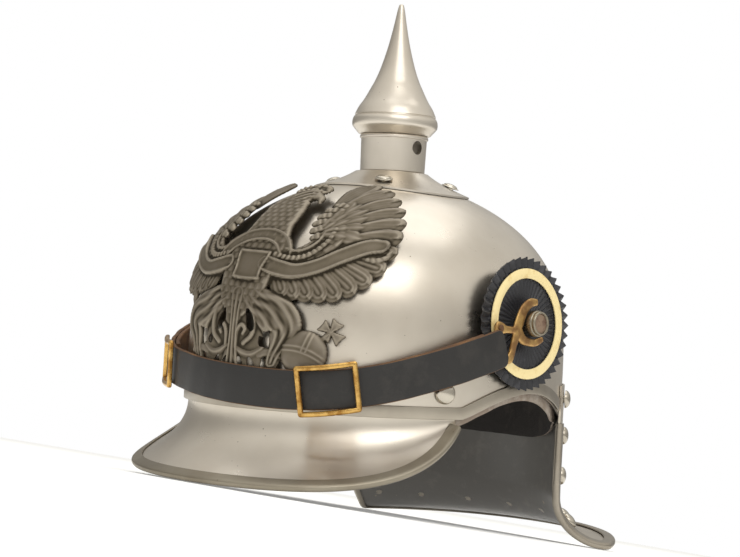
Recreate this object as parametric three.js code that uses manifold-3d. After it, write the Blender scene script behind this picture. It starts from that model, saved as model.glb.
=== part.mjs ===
// Cuirassier helmet: steel skull, visor and neck guard with nickel trims, a screwed-on spike,
// rosettes, a leather chin strap carried over the visor, and a pierced eagle plate.
// Millimetres. The helmet is built as worn: front towards -Y, wearer's left towards +X, spike up.
// At the end it is pitched forward until it rests on its visor and its neck guard.
import * as THREE from "three";
import { mergeVertices } from "three/addons/utils/BufferGeometryUtils.js";
import Module from "manifold-3d";

const wasm = await Module();
wasm.setup();

// Skull: an oval dome over a level datum, its lower edge cut up over each ear
const skullHalfWidth = 96.5;
const skullFrontLength = 114;
const skullBackLength = 113;
const skullShift = -2;
const crownHeight = 117.5;
const domeFullness = 3.5;
const domeTaper = 1.55;
const steelWall = 1.2;
const crownVentShare = 0.1;
const browDrop = 10.8;
const earCentre = 14.5;
const earHalfLength = 50;
const earRise = 13.6;
const napeDrop = 14;
const gap = 0.3;

// Trims of nickel silver strip
const trimThickness = 0.8;
const bandWidth = 6.3;
const visorTrimWidth = 5.6;
const guardTrimWidth = 5.4;
const guardTrimFit = 0.6;
const trimReturn = 2.2;

// Visor
const visorReach = 27;
const visorDrop = 35;
const visorSpread = THREE.MathUtils.degToRad(73);
const visorEnd = THREE.MathUtils.degToRad(71.5);
const visorFullness = 4.6;
const visorSweep = 2.2;
const visorFlange = 18;

// Neck guard
const guardTop = 6;
const guardEdgeAngle = THREE.MathUtils.degToRad(123);
const guardCornerAngle = THREE.MathUtils.degToRad(131);
const guardWallDrop = 57;
const guardFlareDrop = 26;
const guardSideFlare = 28;
const guardBackFlare = 44;
const guardCornerRound = 8;

// Spike, its neck and base
const plateRadius = 44;
const plateSheet = 1;
const plateRise = 5.2;
const neckRadius = 18.2;
const neckWall = 1.6;
const neckOverCrown = 2.5;
const neckBase = crownHeight + neckOverCrown;
const neckHeight = 20.5;
const ventRadius = 3.8;
const ventHeight = 13.6;
const flangeRadius = 24;
const spikeHeight = 74.3;
const studCircle = 33;
const studRadius = 5;
const studTurn = THREE.MathUtils.degToRad(-9);

// Rivets
const rivetRadius = 5.6;
const rivetHeight = 3.4;
const shankRadius = 2;
const guardRivetRadius = 5;
const visorRivetAngle = THREE.MathUtils.degToRad(67.5);
const visorRivetHeight = 2.6;

// Rosettes, posts and forks at each side
const rosetteForward = 4.6;
const rosetteLevel = 39.8;
const rosetteTilt = 0.06;
const rosetteRadius = 35.4;
const rosetteRingOuter = 29.2;
const rosetteRingInner = 24;
const rosettePleats = 40;
const rosetteStandOff = 3.4;
const rosetteSheet = 1;
const pleatDepth = 2.2;
const postRadius = 6.9;
const postLength = 10.4;
const postStem = 4.2;
const forkThickness = 2.2;

// Chin strap and buckles
const strapWidth = 20;
const strapThickness = 2.4;
const buckleWidth = 26.5;
const buckleBar = 3.1;
const leftBuckleAngle = THREE.MathUtils.degToRad(36);
const rightBuckleAngle = THREE.MathUtils.degToRad(-33);

// Eagle plate
const eagleShift = 7;
const eagleLift = 3.6;
const eagleSheet = 1.4;
const wingSpan = 148;
const eagleTall = 131;

// Sweatband and its ear tab
const linerSheet = 1.6;
const linerInset = 3.2;
const linerHeight = 34;
const linerHang = 4;

const plateBore = 14;
const neckFlare = 0.5;
const neckCollar = 2;
const screwRadius = 7;
const screwLength = 9;
const studHeight = 2.6;
const spacerRadius = 6;
const spacerSeat = 0.8;
const rosetteBore = 4.6;
const rosetteRingThickness = 0.8;
const peenThickness = 1;
const peenRadius = 5.6;
const peenSeat = 1.1;
const foldEndShare = 0.035;
const buckleLength = 33;
const buckleCorner = 1.5;
const buckleSag = 0.8;
const eagleFoot = 5;
const eagleStudReach = 24;
const eagleStudLevel = 66;
const linerLean = 2.2;
const boreReach = 8;
const thinBoreReach = 4;
const tongueCount = 8;
const tongueLength = 55;
const tongueLean = 10;
const linerLeanLevel = 26;

// Strokes on each side of the eagle: seven long and eight short wing feathers, shoulder, curl,
// scroll, thigh, two tail leaves and claw. Columns: sideways, upwards, half width, relief.
const eagleSides = [
  [
    [0.351, 0.748, 0.043, 1.5], [0.319, 0.897, 0.066, 1.6], [0.304, 0.967, 0.058, 1.3],
    [0.297, 0.997, 0.022, 1],
  ],
  [
    [0.376, 0.719, 0.043, 1.5], [0.402, 0.86, 0.066, 1.6], [0.414, 0.926, 0.058, 1.3],
    [0.419, 0.954, 0.022, 1],
  ],
  [
    [0.401, 0.69, 0.043, 1.5], [0.481, 0.814, 0.066, 1.6], [0.518, 0.872, 0.058, 1.3],
    [0.534, 0.897, 0.022, 1],
  ],
  [
    [0.426, 0.66, 0.043, 1.5], [0.559, 0.761, 0.066, 1.6], [0.622, 0.808, 0.058, 1.3],
    [0.649, 0.828, 0.022, 1],
  ],
  [
    [0.45, 0.631, 0.043, 1.5], [0.634, 0.701, 0.066, 1.6], [0.72, 0.734, 0.058, 1.3],
    [0.757, 0.748, 0.022, 1],
  ],
  [
    [0.475, 0.602, 0.043, 1.5], [0.697, 0.637, 0.066, 1.6], [0.8, 0.653, 0.058, 1.3],
    [0.845, 0.66, 0.022, 1],
  ],
  [
    [0.5, 0.573, 0.043, 1.5], [0.747, 0.573, 0.066, 1.6], [0.863, 0.573, 0.058, 1.3],
    [0.912, 0.573, 0.022, 1],
  ],
  [
    [0.635, 0.481, 0.046, 1.4], [0.833, 0.485, 0.062, 1.5], [0.932, 0.488, 0.051, 1.3],
    [0.965, 0.489, 0.019, 1],
  ],
  [
    [0.575, 0.472, 0.046, 1.4], [0.781, 0.436, 0.062, 1.5], [0.885, 0.418, 0.051, 1.3],
    [0.919, 0.412, 0.019, 1],
  ],
  [
    [0.515, 0.463, 0.046, 1.4], [0.705, 0.391, 0.062, 1.5], [0.8, 0.356, 0.051, 1.3],
    [0.831, 0.344, 0.019, 1],
  ],
  [
    [0.456, 0.455, 0.046, 1.4], [0.612, 0.363, 0.062, 1.5], [0.69, 0.317, 0.051, 1.3],
    [0.716, 0.302, 0.019, 1],
  ],
  [
    [0.396, 0.446, 0.046, 1.4], [0.523, 0.351, 0.062, 1.5], [0.587, 0.303, 0.051, 1.3],
    [0.608, 0.287, 0.019, 1],
  ],
  [
    [0.336, 0.437, 0.046, 1.4], [0.43, 0.349, 0.062, 1.5], [0.478, 0.305, 0.051, 1.3],
    [0.493, 0.29, 0.019, 1],
  ],
  [
    [0.276, 0.429, 0.046, 1.4], [0.337, 0.351, 0.062, 1.5], [0.368, 0.312, 0.051, 1.3],
    [0.378, 0.299, 0.019, 1],
  ],
  [
    [0.216, 0.42, 0.046, 1.4], [0.249, 0.358, 0.062, 1.5], [0.265, 0.327, 0.051, 1.3],
    [0.27, 0.317, 0.019, 1],
  ],
  [
    [0.135, 0.435, 0.122, 1.7], [0.297, 0.496, 0.122, 2], [0.419, 0.58, 0.128, 2],
    [0.419, 0.679, 0.122, 1.9], [0.365, 0.779, 0.068, 1.5],
  ],
  [
    [0.365, 0.511, 0.041, 2.4], [0.346, 0.573, 0.054, 2.6], [0.357, 0.649, 0.059, 2.6],
    [0.338, 0.718, 0.041, 2.4],
  ],
  [
    [0.149, 0.408, 0.054, 2.9], [0.297, 0.416, 0.059, 3.1], [0.459, 0.435, 0.062, 3.1],
    [0.649, 0.485, 0.062, 3], [0.818, 0.538, 0.054, 2.6],
  ],
  [
    [0.095, 0.344, 0.095, 1.8], [0.216, 0.305, 0.122, 2.4], [0.324, 0.252, 0.135, 2.6],
    [0.358, 0.191, 0.108, 2.2], [0.351, 0.13, 0.068, 1.8], [0.324, 0.069, 0.041, 1.1],
  ],
  [
    [0.027, 0.267, 0.041, 1.6], [0.078, 0.198, 0.035, 1.7], [0.122, 0.145, 0.032, 1.6],
    [0.176, 0.115, 0.041, 1.4], [0.236, 0.118, 0.024, 1.2],
  ],
  [
    [0.02, 0.13, 0.041, 1.5], [0.081, 0.069, 0.038, 1.3], [0.162, 0.034, 0.041, 1.1],
    [0.243, 0.031, 0.027, 1],
  ],
  [[0.216, 0.076, 0.027, 1], [0.297, 0.107, 0.035, 1.2], [0.392, 0.099, 0.035, 1.3]],
];
// Strokes in the middle and on one side only: body, head, crown, shield, the scroll's arch, tail,
// orb, cross and sceptre, in the same columns.
const eagleMiddle = [
  [
    [0, 0.221, 0.068, 1.8], [0, 0.298, 0.176, 2.2], [0, 0.389, 0.216, 2.6],
    [0, 0.496, 0.203, 2.9], [0.027, 0.588, 0.162, 3], [0.061, 0.679, 0.115, 3],
    [0.081, 0.756, 0.095, 2.9], [0.095, 0.824, 0.089, 2.7],
  ],
  [
    [0.014, 0.802, 0.068, 2.4], [0.095, 0.824, 0.088, 3.2], [0.169, 0.817, 0.054, 2.8],
    [0.23, 0.79, 0.016, 2],
  ],
  [[-0.081, 0.859, 0.032, 2.4], [0.041, 0.878, 0.038, 2.8], [0.162, 0.87, 0.03, 2.4]],
  [
    [-0.095, 0.863, 0.022, 2], [-0.101, 0.908, 0.035, 2.2], [-0.014, 0.954, 0.035, 2.2],
    [0.081, 0.962, 0.035, 2.2], [0.162, 0.924, 0.032, 2.2], [0.162, 0.87, 0.022, 2],
  ],
  [[0.041, 0.87, 0.027, 2.2], [0.027, 0.931, 0.03, 2.2], [0.02, 0.985, 0.022, 2]],
  [[0, 0.37, 0.127, 3.7], [0, 0.508, 0.127, 3.9]],
  [
    [-0.284, 0.45, 0.046, 3.1], [-0.23, 0.527, 0.054, 3.3], [-0.108, 0.588, 0.057, 3.5],
    [0.027, 0.603, 0.057, 3.5], [0.162, 0.573, 0.057, 3.4], [0.25, 0.504, 0.051, 3.2],
    [0.27, 0.45, 0.043, 3],
  ],
  [[0, 0.313, 0.068, 2], [0, 0.191, 0.046, 2.2], [0, 0.099, 0.043, 1.8], [0, 0.031, 0.068, 1.2]],
  [
    [0.5, 0.019, 0.054, 1], [0.5, 0.046, 0.122, 1.3], [0.5, 0.111, 0.165, 2.2],
    [0.5, 0.168, 0.128, 2.2], [0.5, 0.202, 0.041, 1.4],
  ],
  [[0.588, 0.141, 0.035, 1.4], [0.669, 0.173, 0.016, 1.4], [0.757, 0.206, 0.045, 1.4]],
  [[0.619, 0.215, 0.045, 1.4], [0.67, 0.174, 0.016, 1.4], [0.722, 0.132, 0.045, 1.4]],
  [
    [-0.338, 0.053, 0.019, 1.2], [-0.405, 0.145, 0.02, 1.4], [-0.466, 0.237, 0.022, 1.4],
    [-0.493, 0.275, 0.038, 1.6], [-0.527, 0.321, 0.032, 1.5], [-0.554, 0.359, 0.014, 1.2],
  ],
];
// Outline of the spike as shares of the flange's radius and of the height over the flange
const spikeShares = [
  [0.83, 0],
  [0.93, 0.03],
  [1, 0.075],
  [1, 0.12],
  [0.965, 0.145],
  [0.93, 0.15],
  [0.935, 0.165],
  [0.85, 0.219],
  [0.76, 0.264],
  [0.675, 0.312],
  [0.6, 0.358],
  [0.525, 0.405],
  [0.42, 0.49],
  [0.33, 0.585],
  [0.25, 0.68],
  [0.19, 0.77],
  [0.135, 0.86],
  [0.085, 0.95],
  [0.05, 0.99],
  [0, 1],
];
// Route of the strap's middle: degrees round from the front, level, and distance from the skull
const strapRoute = [
  { angle: -81, level: 30, lift: 12.4 },
  { angle: -75, level: 27, lift: 13.4 },
  { angle: -66, level: 21.5, lift: 10.6 },
  { angle: -48, level: 13.5, lift: 9 },
  { angle: -33, level: 8.5, lift: 8.4 },
  { angle: -18, level: 5.8, lift: 7.4 },
  { angle: -2, level: 3, lift: 7.2 },
  { angle: 12.6, level: 1.4, lift: 7.2 },
  { angle: 24, level: 1, lift: 7.6 },
  { angle: 36, level: 2.3, lift: 8.4 },
  { angle: 49, level: 6.7, lift: 9 },
  { angle: 66, level: 16.7, lift: 10.6 },
  { angle: 75, level: 23.3, lift: 13.4 },
  { angle: 81, level: 27.3, lift: 12.4 },
];
// Strokes of the strap's fork, from the post's middle: forwards, upwards and half width
const forkStrokes = {
  upperEye: [[-31, -2.4, 1.6], [-29.3, -2.4, 3.4], [-26, -2.6, 3.2], [-22, -3, 1.5], [-13, -3.4, 1.5]],
  leg: [
    [-13.5, -2.5, 2], [-14.5, -8, 2.4], [-17, -14, 2.2],
    [-18, -19, 2.2], [-19, -23, 3], [-19.4, -26, 1.4],
  ],
  upperClaw: [[-14, -4, 2.6], [-11.5, 2, 2.8], [-8.5, 7.5, 2.6], [-3.5, 11, 2.2], [1.5, 11.8, 1.6]],
  lowerClaw: [
    [-13, -3.5, 2.8], [-8, -7.6, 2], [-3, -8.75, 1.9],
    [0.5, -9.2, 1.9], [4, -8.5, 1.9], [7.5, -7.2, 1.4],
  ],
};

// Materials
const finish = (color, roughness, metalness) =>
  new THREE.MeshStandardMaterial({ color, roughness, metalness });
const steel = finish(0xb9b2a5, 0.3, 1);
const nickel = finish(0xb4aea2, 0.35, 1);
const brass = finish(0xc9974a, 0.3, 1);
const tarnish = finish(0x6b6458, 0.6, 0.8);
const blackPaint = finish(0x26262a, 0.5, 0);
const creamPaint = finish(0xf0d9a0, 0.45, 0);
const leather = finish(0x2b2825, 0.5, 0);
const suede = finish(0x6b5646, 0.9, 0);

// A point on the skull: angle from the front towards the wearer's left, height over the datum,
// and distance outwards from the sheet's outer face.
function skullPoint(angle, height, lift = 0) {
  const length = Math.cos(angle) > 0 ? skullFrontLength : skullBackLength;
  const level = Math.max(height, 0) / crownHeight;
  const share = Math.pow(1 - Math.pow(level, domeFullness), 1 / domeTaper);
  const x = skullHalfWidth * share * Math.sin(angle);
  const y = -length * share * Math.cos(angle);
  const around = (domeTaper * Math.pow(share, domeTaper)) / (share * share);
  const normal = new THREE.Vector3(
    (around * x) / skullHalfWidth ** 2,
    (around * y) / length ** 2,
    (domeFullness * Math.pow(level, domeFullness - 1)) / crownHeight,
  ).normalize();
  return new THREE.Vector3(x, y + skullShift, height).addScaledVector(normal, lift);
}

// Height of the skull's lower edge: level at the brow, arched over the ear, lower at the nape
function edgeHeight(angle) {
  const y = skullPoint(angle, 0).y;
  const fromEar = (y - earCentre) / earHalfLength;
  const arch = earRise * Math.pow(Math.max(0, 1 - fromEar * fromEar), 1.25);
  const rearFoot = earCentre + earHalfLength;
  const behind = THREE.MathUtils.smoothstep(y, rearFoot, skullBackLength + skullShift);
  return arch - browDrop - napeDrop * behind;
}

function flipWinding(index) {
  for (let i = 0; i < index.length; i += 3) [index[i + 1], index[i + 2]] = [index[i + 2], index[i + 1]];
}

function signedVolume(points, index) {
  let sum = 0;
  for (let i = 0; i < index.length; i += 3) {
    const [a, b, c] = [points[index[i]], points[index[i + 1]], points[index[i + 2]]];
    sum += a.dot(new THREE.Vector3().crossVectors(b, c));
  }
  return sum / 6;
}

function geometryFrom(points, index) {
  if (signedVolume(points, index) < 0) flipWinding(index);
  const geometry = new THREE.BufferGeometry().setFromPoints(points);
  geometry.setIndex(index);
  geometry.computeVertexNormals();
  return geometry;
}

// A closed body through sections of equal count. Each section runs along one face of the sheet and
// back along the other, so its two ends are closed by a strip between the faces.
function loft(sections, ring = false) {
  const count = sections[0].length;
  const index = [];
  const last = ring ? sections.length : sections.length - 1;
  for (let i = 0; i < last; i++) {
    const here = i * count;
    const next = ((i + 1) % sections.length) * count;
    for (let j = 0; j < count; j++) {
      const k = (j + 1) % count;
      index.push(here + j, here + k, next + k, here + j, next + k, next + j);
    }
  }
  if (!ring) {
    for (const [start, turned] of [[0, true], [(sections.length - 1) * count, false]]) {
      for (let j = 0; j < count / 2 - 1; j++) {
        const [a, b, c, d] = [j, j + 1, count - 2 - j, count - 1 - j].map((n) => start + n);
        if (turned) index.push(a, c, b, a, d, c);
        else index.push(a, b, c, a, c, d);
      }
    }
  }
  return geometryFrom(sections.flat(), index);
}

function manifoldOf(geometry) {
  const bare = geometry.index ? geometry.toNonIndexed() : geometry.clone();
  for (const name of Object.keys(bare.attributes)) if (name !== "position") bare.deleteAttribute(name);
  const merged = mergeVertices(bare, 1e-4);
  return new wasm.Manifold(
    new wasm.Mesh({
      numProp: 3,
      vertProperties: merged.attributes.position.array,
      triVerts: new Uint32Array(merged.index.array),
    }),
  );
}

function geometryOf(body) {
  const mesh = body.getMesh();
  const geometry = new THREE.BufferGeometry();
  geometry.setAttribute("position", new THREE.BufferAttribute(new Float32Array(mesh.vertProperties), 3));
  geometry.setIndex(new THREE.BufferAttribute(new Uint32Array(mesh.triVerts), 1));
  geometry.computeVertexNormals();
  return geometry;
}

function cutFrom(geometry, tools) {
  return geometryOf(tools.reduce((body, tool) => body.subtract(manifoldOf(tool)), manifoldOf(geometry)));
}

function joined(geometries) {
  return geometryOf(geometries.map(manifoldOf).reduce((body, next) => body.add(next)));
}

const helmet = new THREE.Group();

function piece(name, geometry, material, parent = helmet) {
  const mesh = new THREE.Mesh(geometry, material);
  mesh.name = name;
  parent.add(mesh);
  return mesh;
}

const steps = (count, from = 0, to = 1) =>
  Array.from({ length: count + 1 }, (_, i) => from + ((to - from) * i) / count);

// A turned body standing on its foot, pointing along a direction
function turned(profile, sides, foot, along) {
  const points = profile.map(([radius, height]) => new THREE.Vector2(radius, height));
  const geometry = new THREE.LatheGeometry(points, sides);
  geometry.applyQuaternion(
    new THREE.Quaternion().setFromUnitVectors(new THREE.Vector3(0, 1, 0), along.clone().normalize()),
  );
  geometry.translate(foot.x, foot.y, foot.z);
  return geometryOf(manifoldOf(geometry));
}

// Outward direction of a surface given by a function of two shares
function surfaceFrame(surface, u, v) {
  const small = 1e-3;
  const along = surface(u + small, v).sub(surface(u - small, v)).divideScalar(2 * small);
  const down = surface(u, v + small).sub(surface(u, v - small)).divideScalar(2 * small);
  const normal = new THREE.Vector3().crossVectors(along, down).normalize();
  return { at: surface(u, v), along, down, normal };
}

// Shares reached by walking a distance over the surface in a direction
function walk(surface, u, v, direction, distance) {
  const stages = 3;
  for (let i = 0; i < stages; i++) {
    const { along, down } = surfaceFrame(surface, u, v);
    const step = direction.clone().multiplyScalar(distance / stages);
    const [aa, ad, dd] = [along.dot(along), along.dot(down), down.dot(down)];
    const [sa, sd] = [step.dot(along), step.dot(down)];
    const scale = aa * dd - ad * ad;
    u += (sa * dd - sd * ad) / scale;
    v += (sd * aa - sa * ad) / scale;
  }
  return [u, v];
}

// A strip bent round the edge of a sheet: it lies on the outer face, turns over the edge, and
// returns a little way on the inner face. The surface's normal must point outwards.
function edgeTrim(surface, path, sheet, width, fit = gap) {
  const samples = path.map(([u, v]) => surface(u, v));
  return loft(
    path.map(([u, v], i) => {
      const { at, normal } = surfaceFrame(surface, u, v);
      const before = samples[Math.max(i - 1, 0)];
      const after = samples[Math.min(i + 1, samples.length - 1)];
      const inwards = new THREE.Vector3().crossVectors(normal, after.clone().sub(before)).normalize();
      const place = (distance, lift) => {
        const [a, b] = walk(surface, u, v, inwards, distance);
        const frame = surfaceFrame(surface, a, b);
        return frame.at.addScaledVector(frame.normal, lift);
      };
      const past = (distance, lift) =>
        at.clone().addScaledVector(inwards, -distance).addScaledVector(normal, lift);
      const outer = fit + trimThickness;
      const back = -sheet - fit;
      return [
        place(width, outer),
        place(width / 2, outer),
        past(outer, outer),
        past(outer, back - trimThickness),
        place(trimReturn, back - trimThickness),
        place(trimReturn, back),
        past(fit, back),
        past(fit, fit),
        place(width / 2, fit),
        place(width, fit),
      ];
    }),
  );
}

// Level of a point of the front, by its distance up the curve of the skull
const meridian = (() => {
  const table = [[0, 0]];
  let [length, before] = [0, skullPoint(0, 0)];
  for (const share of steps(200).slice(1)) {
    const here = skullPoint(0, crownHeight * Math.sin((share * 0.98 * Math.PI) / 2));
    length += here.distanceTo(before);
    table.push([length, here.z]);
    before = here;
  }
  return table;
})();

function levelUpFront(distance) {
  if (distance <= 0) return distance;
  const i = meridian.findIndex(([length]) => length >= distance);
  const [[a, low], [b, high]] = [meridian[i - 1], meridian[i]];
  return low + ((high - low) * (distance - a)) / (b - a);
}

function onSkull(x, y, lift) {
  const level = levelUpFront(y);
  const share = Math.pow(1 - Math.pow(Math.max(level, 0) / crownHeight, domeFullness), 1 / domeTaper);
  let angle = 0;
  for (let i = 0; i < 4; i++) {
    const step = x / share / 4;
    angle += step / Math.hypot(skullHalfWidth * Math.cos(angle), skullFrontLength * Math.sin(angle));
  }
  return skullPoint(angle, level, lift);
}

// Skull
const skullRows = steps(8);
const skullColumns = steps(44, 0, 2 * Math.PI).slice(0, -1);
const crownRow = 1 - crownVentShare;

function skullShell() {
  return loft(
    skullColumns.map((angle) => {
      const heightAt = (row) =>
        crownHeight * Math.sin((row * crownRow * Math.PI) / 2) + edgeHeight(angle) * (1 - row) ** 3;
      const outer = skullRows.map((row) => skullPoint(angle, heightAt(row)));
      const inner = skullRows.map((row) => skullPoint(angle, heightAt(row), -steelWall));
      return [...outer, ...inner.reverse()];
    }),
    true,
  );
}

// Direction that a rivet or post on the skull points in
function skullNormal(angle, height) {
  return skullPoint(angle, height, 1).sub(skullPoint(angle, height)).normalize();
}

function boreThrough(centre, along, radius, depth) {
  return turned([[0, -depth], [radius, -depth], [radius, depth], [0, depth]], 12, centre, along);
}

// Domed rivet: its head seats a gap above the sheet, its shank passes through and ends inside
function rivet(seat, along, radius, height, depth, undercut = 0.1) {
  const profile = [
    [0, -depth],
    [shankRadius, -depth],
    [shankRadius, gap],
    [radius * 0.5, gap],
    [radius, gap + undercut],
    [radius * 0.93, gap + height * 0.5],
    [radius * 0.6, gap + height * 0.88],
    [0, gap + height],
  ];
  return turned(profile, 8, seat, along);
}

const sides = [
  { name: "left", sign: 1 },
  { name: "right", sign: -1 },
];

const visorRivets = sides.map(({ name, sign }) => {
  const angle = sign * visorRivetAngle;
  return {
    name: "visor_rivet_" + name,
    seat: skullPoint(angle, visorRivetHeight),
    along: skullNormal(angle, visorRivetHeight),
  };
});

const postAngle = Math.acos((skullShift - rosetteForward) / skullBackLength);
const posts = sides.map(({ name, sign }) => {
  const seat = skullPoint(sign * postAngle, rosetteLevel);
  return { name, sign, seat, along: new THREE.Vector3(sign, 0, rosetteTilt).normalize() };
});

// Visor: a flange inside the skull, then a blade that sweeps outwards to its rim
function visorShare(angle) {
  return 1 - Math.pow(Math.abs(angle) / visorSpread, visorFullness);
}

function visorSurface(u, v) {
  const angle = -u * visorEnd;
  const share = visorShare(angle);
  const start = -steelWall - gap;
  const lift = start + (visorReach * share - start) * Math.pow(Math.max(v, 0), visorSweep);
  const drop = browDrop + gap + visorDrop * share * v;
  return skullPoint(angle, 0, lift).setZ(-drop);
}

function visorBlade() {
  return loft(
    steps(26, -1, 1).map((u) => {
      const rows = steps(6);
      const start = -steelWall - gap;
      const angle = -u * visorEnd;
      const top = skullPoint(angle, 0, start).setZ(visorFlange - browDrop);
      const topInner = skullPoint(angle, 0, start - steelWall).setZ(visorFlange - browDrop);
      const outer = rows.map((v) => visorSurface(u, v));
      const inner = rows.map((v) => {
        const { at, normal } = surfaceFrame(visorSurface, u, Math.max(v, 0.01));
        return at.addScaledVector(normal, -steelWall);
      });
      return [top, ...outer, ...inner.reverse(), topInner];
    }),
  );
}

// Neck guard: a wall that follows the back of the skull, then flares out to its edge
function guardProfile(side, share) {
  const wallShare = 0.6;
  if (share < wallShare) {
    return { lift: 0, height: guardTop - (guardTop + guardWallDrop) * (share / wallShare) };
  }
  const k = (share - wallShare) / (1 - wallShare);
  const flare = guardBackFlare + (guardSideFlare - guardBackFlare) * side * side;
  return {
    lift: flare * Math.pow(k, 1.8),
    height: -guardWallDrop - guardFlareDrop * (1 - Math.pow(Math.max(1 - k, 0), 1.6)),
  };
}

function guardSurface(u, v) {
  const { lift, height } = guardProfile(u, v);
  const turn = THREE.MathUtils.smoothstep(v, 0.5, 1);
  const edge = guardEdgeAngle + (guardCornerAngle - guardEdgeAngle) * turn;
  const angle = Math.PI - u * (Math.PI - edge);
  return skullPoint(angle, 0, gap + steelWall + lift).setZ(height);
}

// Where the guard ends below, with its two corners rounded
function guardEnd(u) {
  const cornerShare = 0.06;
  const into = Math.max(0, (Math.abs(u) - (1 - cornerShare)) / cornerShare);
  const rounding = (guardCornerRound / (guardTop + guardWallDrop + guardFlareDrop)) * 1.2;
  return 1 - rounding * (1 - Math.sqrt(1 - Math.min(into, 1) ** 2));
}

const guardColumns = [-1, -0.985, -0.96, ...steps(16, -0.92, 0.92), 0.96, 0.985, 1];

function guardShell() {
  return loft(
    guardColumns.map((u) => {
      const rows = guardRows.map((share) => share * guardEnd(u));
      const outer = rows.map((v) => guardSurface(u, v));
      const inner = rows.map((v) => {
        const { at, normal } = surfaceFrame(guardSurface, u, v);
        return at.addScaledVector(normal, -steelWall);
      });
      return [...outer, ...inner.reverse()];
    }),
  );
}

const guardRows = [0, 0.2, 0.4, 0.59, 0.65, 0.71, 0.77, 0.83, 0.89, 0.95, 1];
const trimStart = 0.2;
const sideRows = guardRows.filter((share) => share >= trimStart).map((share) => share * guardEnd(1));
const guardEdgePath = [
  ...sideRows.slice(0, -1).map((v) => [1, v]),
  ...[...guardColumns].reverse().map((u) => [u, guardEnd(u)]),
  ...[...sideRows].reverse().slice(1).map((v) => [-1, v]),
];

// Guard rivets: a row down each front edge, and a row above the flare's edge
const edgeRows = [0.075, 0.27, 0.485];
const flareRivets = [-0.86, -0.6, -0.3, 0, 0.3, 0.6, 0.86];
const guardRivets = [
  ...sides.flatMap(({ name, sign }) =>
    edgeRows.map((v, i) => ({ name: `edge_rivet_${name}_${i + 1}`, u: sign * 0.88, v })),
  ),
  ...flareRivets.map((u, i) => ({ name: `flare_rivet_${i + 1}`, u, v: 0.76 })),
].map((rivetPlace) => {
  const frame = surfaceFrame(guardSurface, rivetPlace.u, rivetPlace.v);
  return { ...rivetPlace, seat: frame.at, along: frame.normal };
});

const eagleStuds = sides.map(({ sign }) => {
  const place = (lift) => onSkull(eagleShift + sign * eagleStudReach, eagleStudLevel, lift);
  return { seat: place(0), along: place(1).sub(place(0)).normalize() };
});

const skullBores = [
  ...eagleStuds.map(({ seat, along }) => boreThrough(seat, along, shankRadius + gap, thinBoreReach)),
  ...visorRivets.map(({ seat, along }) => boreThrough(seat, along, shankRadius + gap, boreReach)),
  ...posts.map(({ seat, along }) => boreThrough(seat, along, postStem + gap, boreReach)),
  ...guardRivets
    .filter(({ v }) => v < 0.1)
    .map(({ seat, along }) => boreThrough(seat, along, shankRadius + gap, boreReach)),
];
const skull = piece("skull", cutFrom(skullShell(), skullBores), steel);
piece(
  "visor",
  cutFrom(
    visorBlade(),
    visorRivets.map(({ seat, along }) => boreThrough(seat, along, shankRadius + gap, boreReach)),
  ),
  steel,
);
const visorPath = steps(26, -1, 1).map((u) => [-u, 1]);
const visorTrim = piece("visor_trim", edgeTrim(visorSurface, visorPath, steelWall, visorTrimWidth), nickel);
piece(
  "neck_guard",
  cutFrom(
    guardShell(),
    guardRivets.map(({ seat, along }) => boreThrough(seat, along, shankRadius + gap, thinBoreReach)),
  ),
  steel,
);
const guardTrim = piece(
  "neck_guard_trim",
  edgeTrim(guardSurface, guardEdgePath, steelWall, guardTrimWidth, guardTrimFit),
  nickel,
);

// Band along the skull's lower edge, from one end of the neck guard round the brow to the other
function edgeBand() {
  const end = guardEdgeAngle - 0.035;
  return loft(
    steps(56, -end, end).map((angle) => {
      const small = 0.01;
      const rise = (edgeHeight(angle + small) - edgeHeight(angle - small)) / (2 * small);
      const run = skullPoint(angle + small, 0).distanceTo(skullPoint(angle - small, 0)) / (2 * small);
      const low = edgeHeight(angle);
      const high = low + bandWidth * Math.hypot(1, rise / run);
      return [
        skullPoint(angle, low, gap + trimThickness),
        skullPoint(angle, high, gap + trimThickness),
        skullPoint(angle, high, gap),
        skullPoint(angle, low, gap),
      ];
    }),
  );
}
piece("edge_band", edgeBand(), nickel);

for (const { name, seat, along } of visorRivets) {
  piece(name, rivet(seat, along, rivetRadius, rivetHeight, 2 * steelWall + gap), nickel);
}
for (const { name, seat, along, v } of guardRivets) {
  const depth = v < 0.1 ? 2 * steelWall + gap : steelWall;
  piece(name, rivet(seat, along, guardRivetRadius, rivetHeight, depth, v > 0.6 ? 1.2 : 0.2), nickel);
}

// Height of the crown above a point of the plan
function crownLevel(x, y) {
  const length = y < skullShift ? skullFrontLength : skullBackLength;
  const share = Math.hypot(x / skullHalfWidth, (y - skullShift) / length);
  return crownHeight * Math.pow(1 - Math.pow(share, domeTaper), 1 / domeFullness);
}

// Base plate: a disc that follows the crown and rises in a hollow curve to the spike's neck
function plateLevel(x, y) {
  const radius = Math.hypot(x, y);
  const inwards = Math.max(0, (plateRadius - radius) / (plateRadius - neckRadius));
  const seat = crownLevel(x, y) + gap + plateSheet;
  return Math.min(seat + plateRise * Math.pow(inwards, 3), neckBase);
}

function basePlate() {
  const radii = steps(5, plateBore, plateRadius);
  return loft(
    steps(28, 0, 2 * Math.PI).slice(0, -1).map((bearing) => {
      const over = (radius, level) => {
        const [x, y] = [radius * Math.cos(bearing), radius * Math.sin(bearing)];
        return new THREE.Vector3(x, y, level(x, y));
      };
      const upper = radii.map((radius) => over(radius, plateLevel));
      const lower = radii.map((radius) => over(radius, (x, y) => crownLevel(x, y) + gap));
      return [...upper, ...lower.reverse()];
    }),
    true,
  );
}

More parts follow.
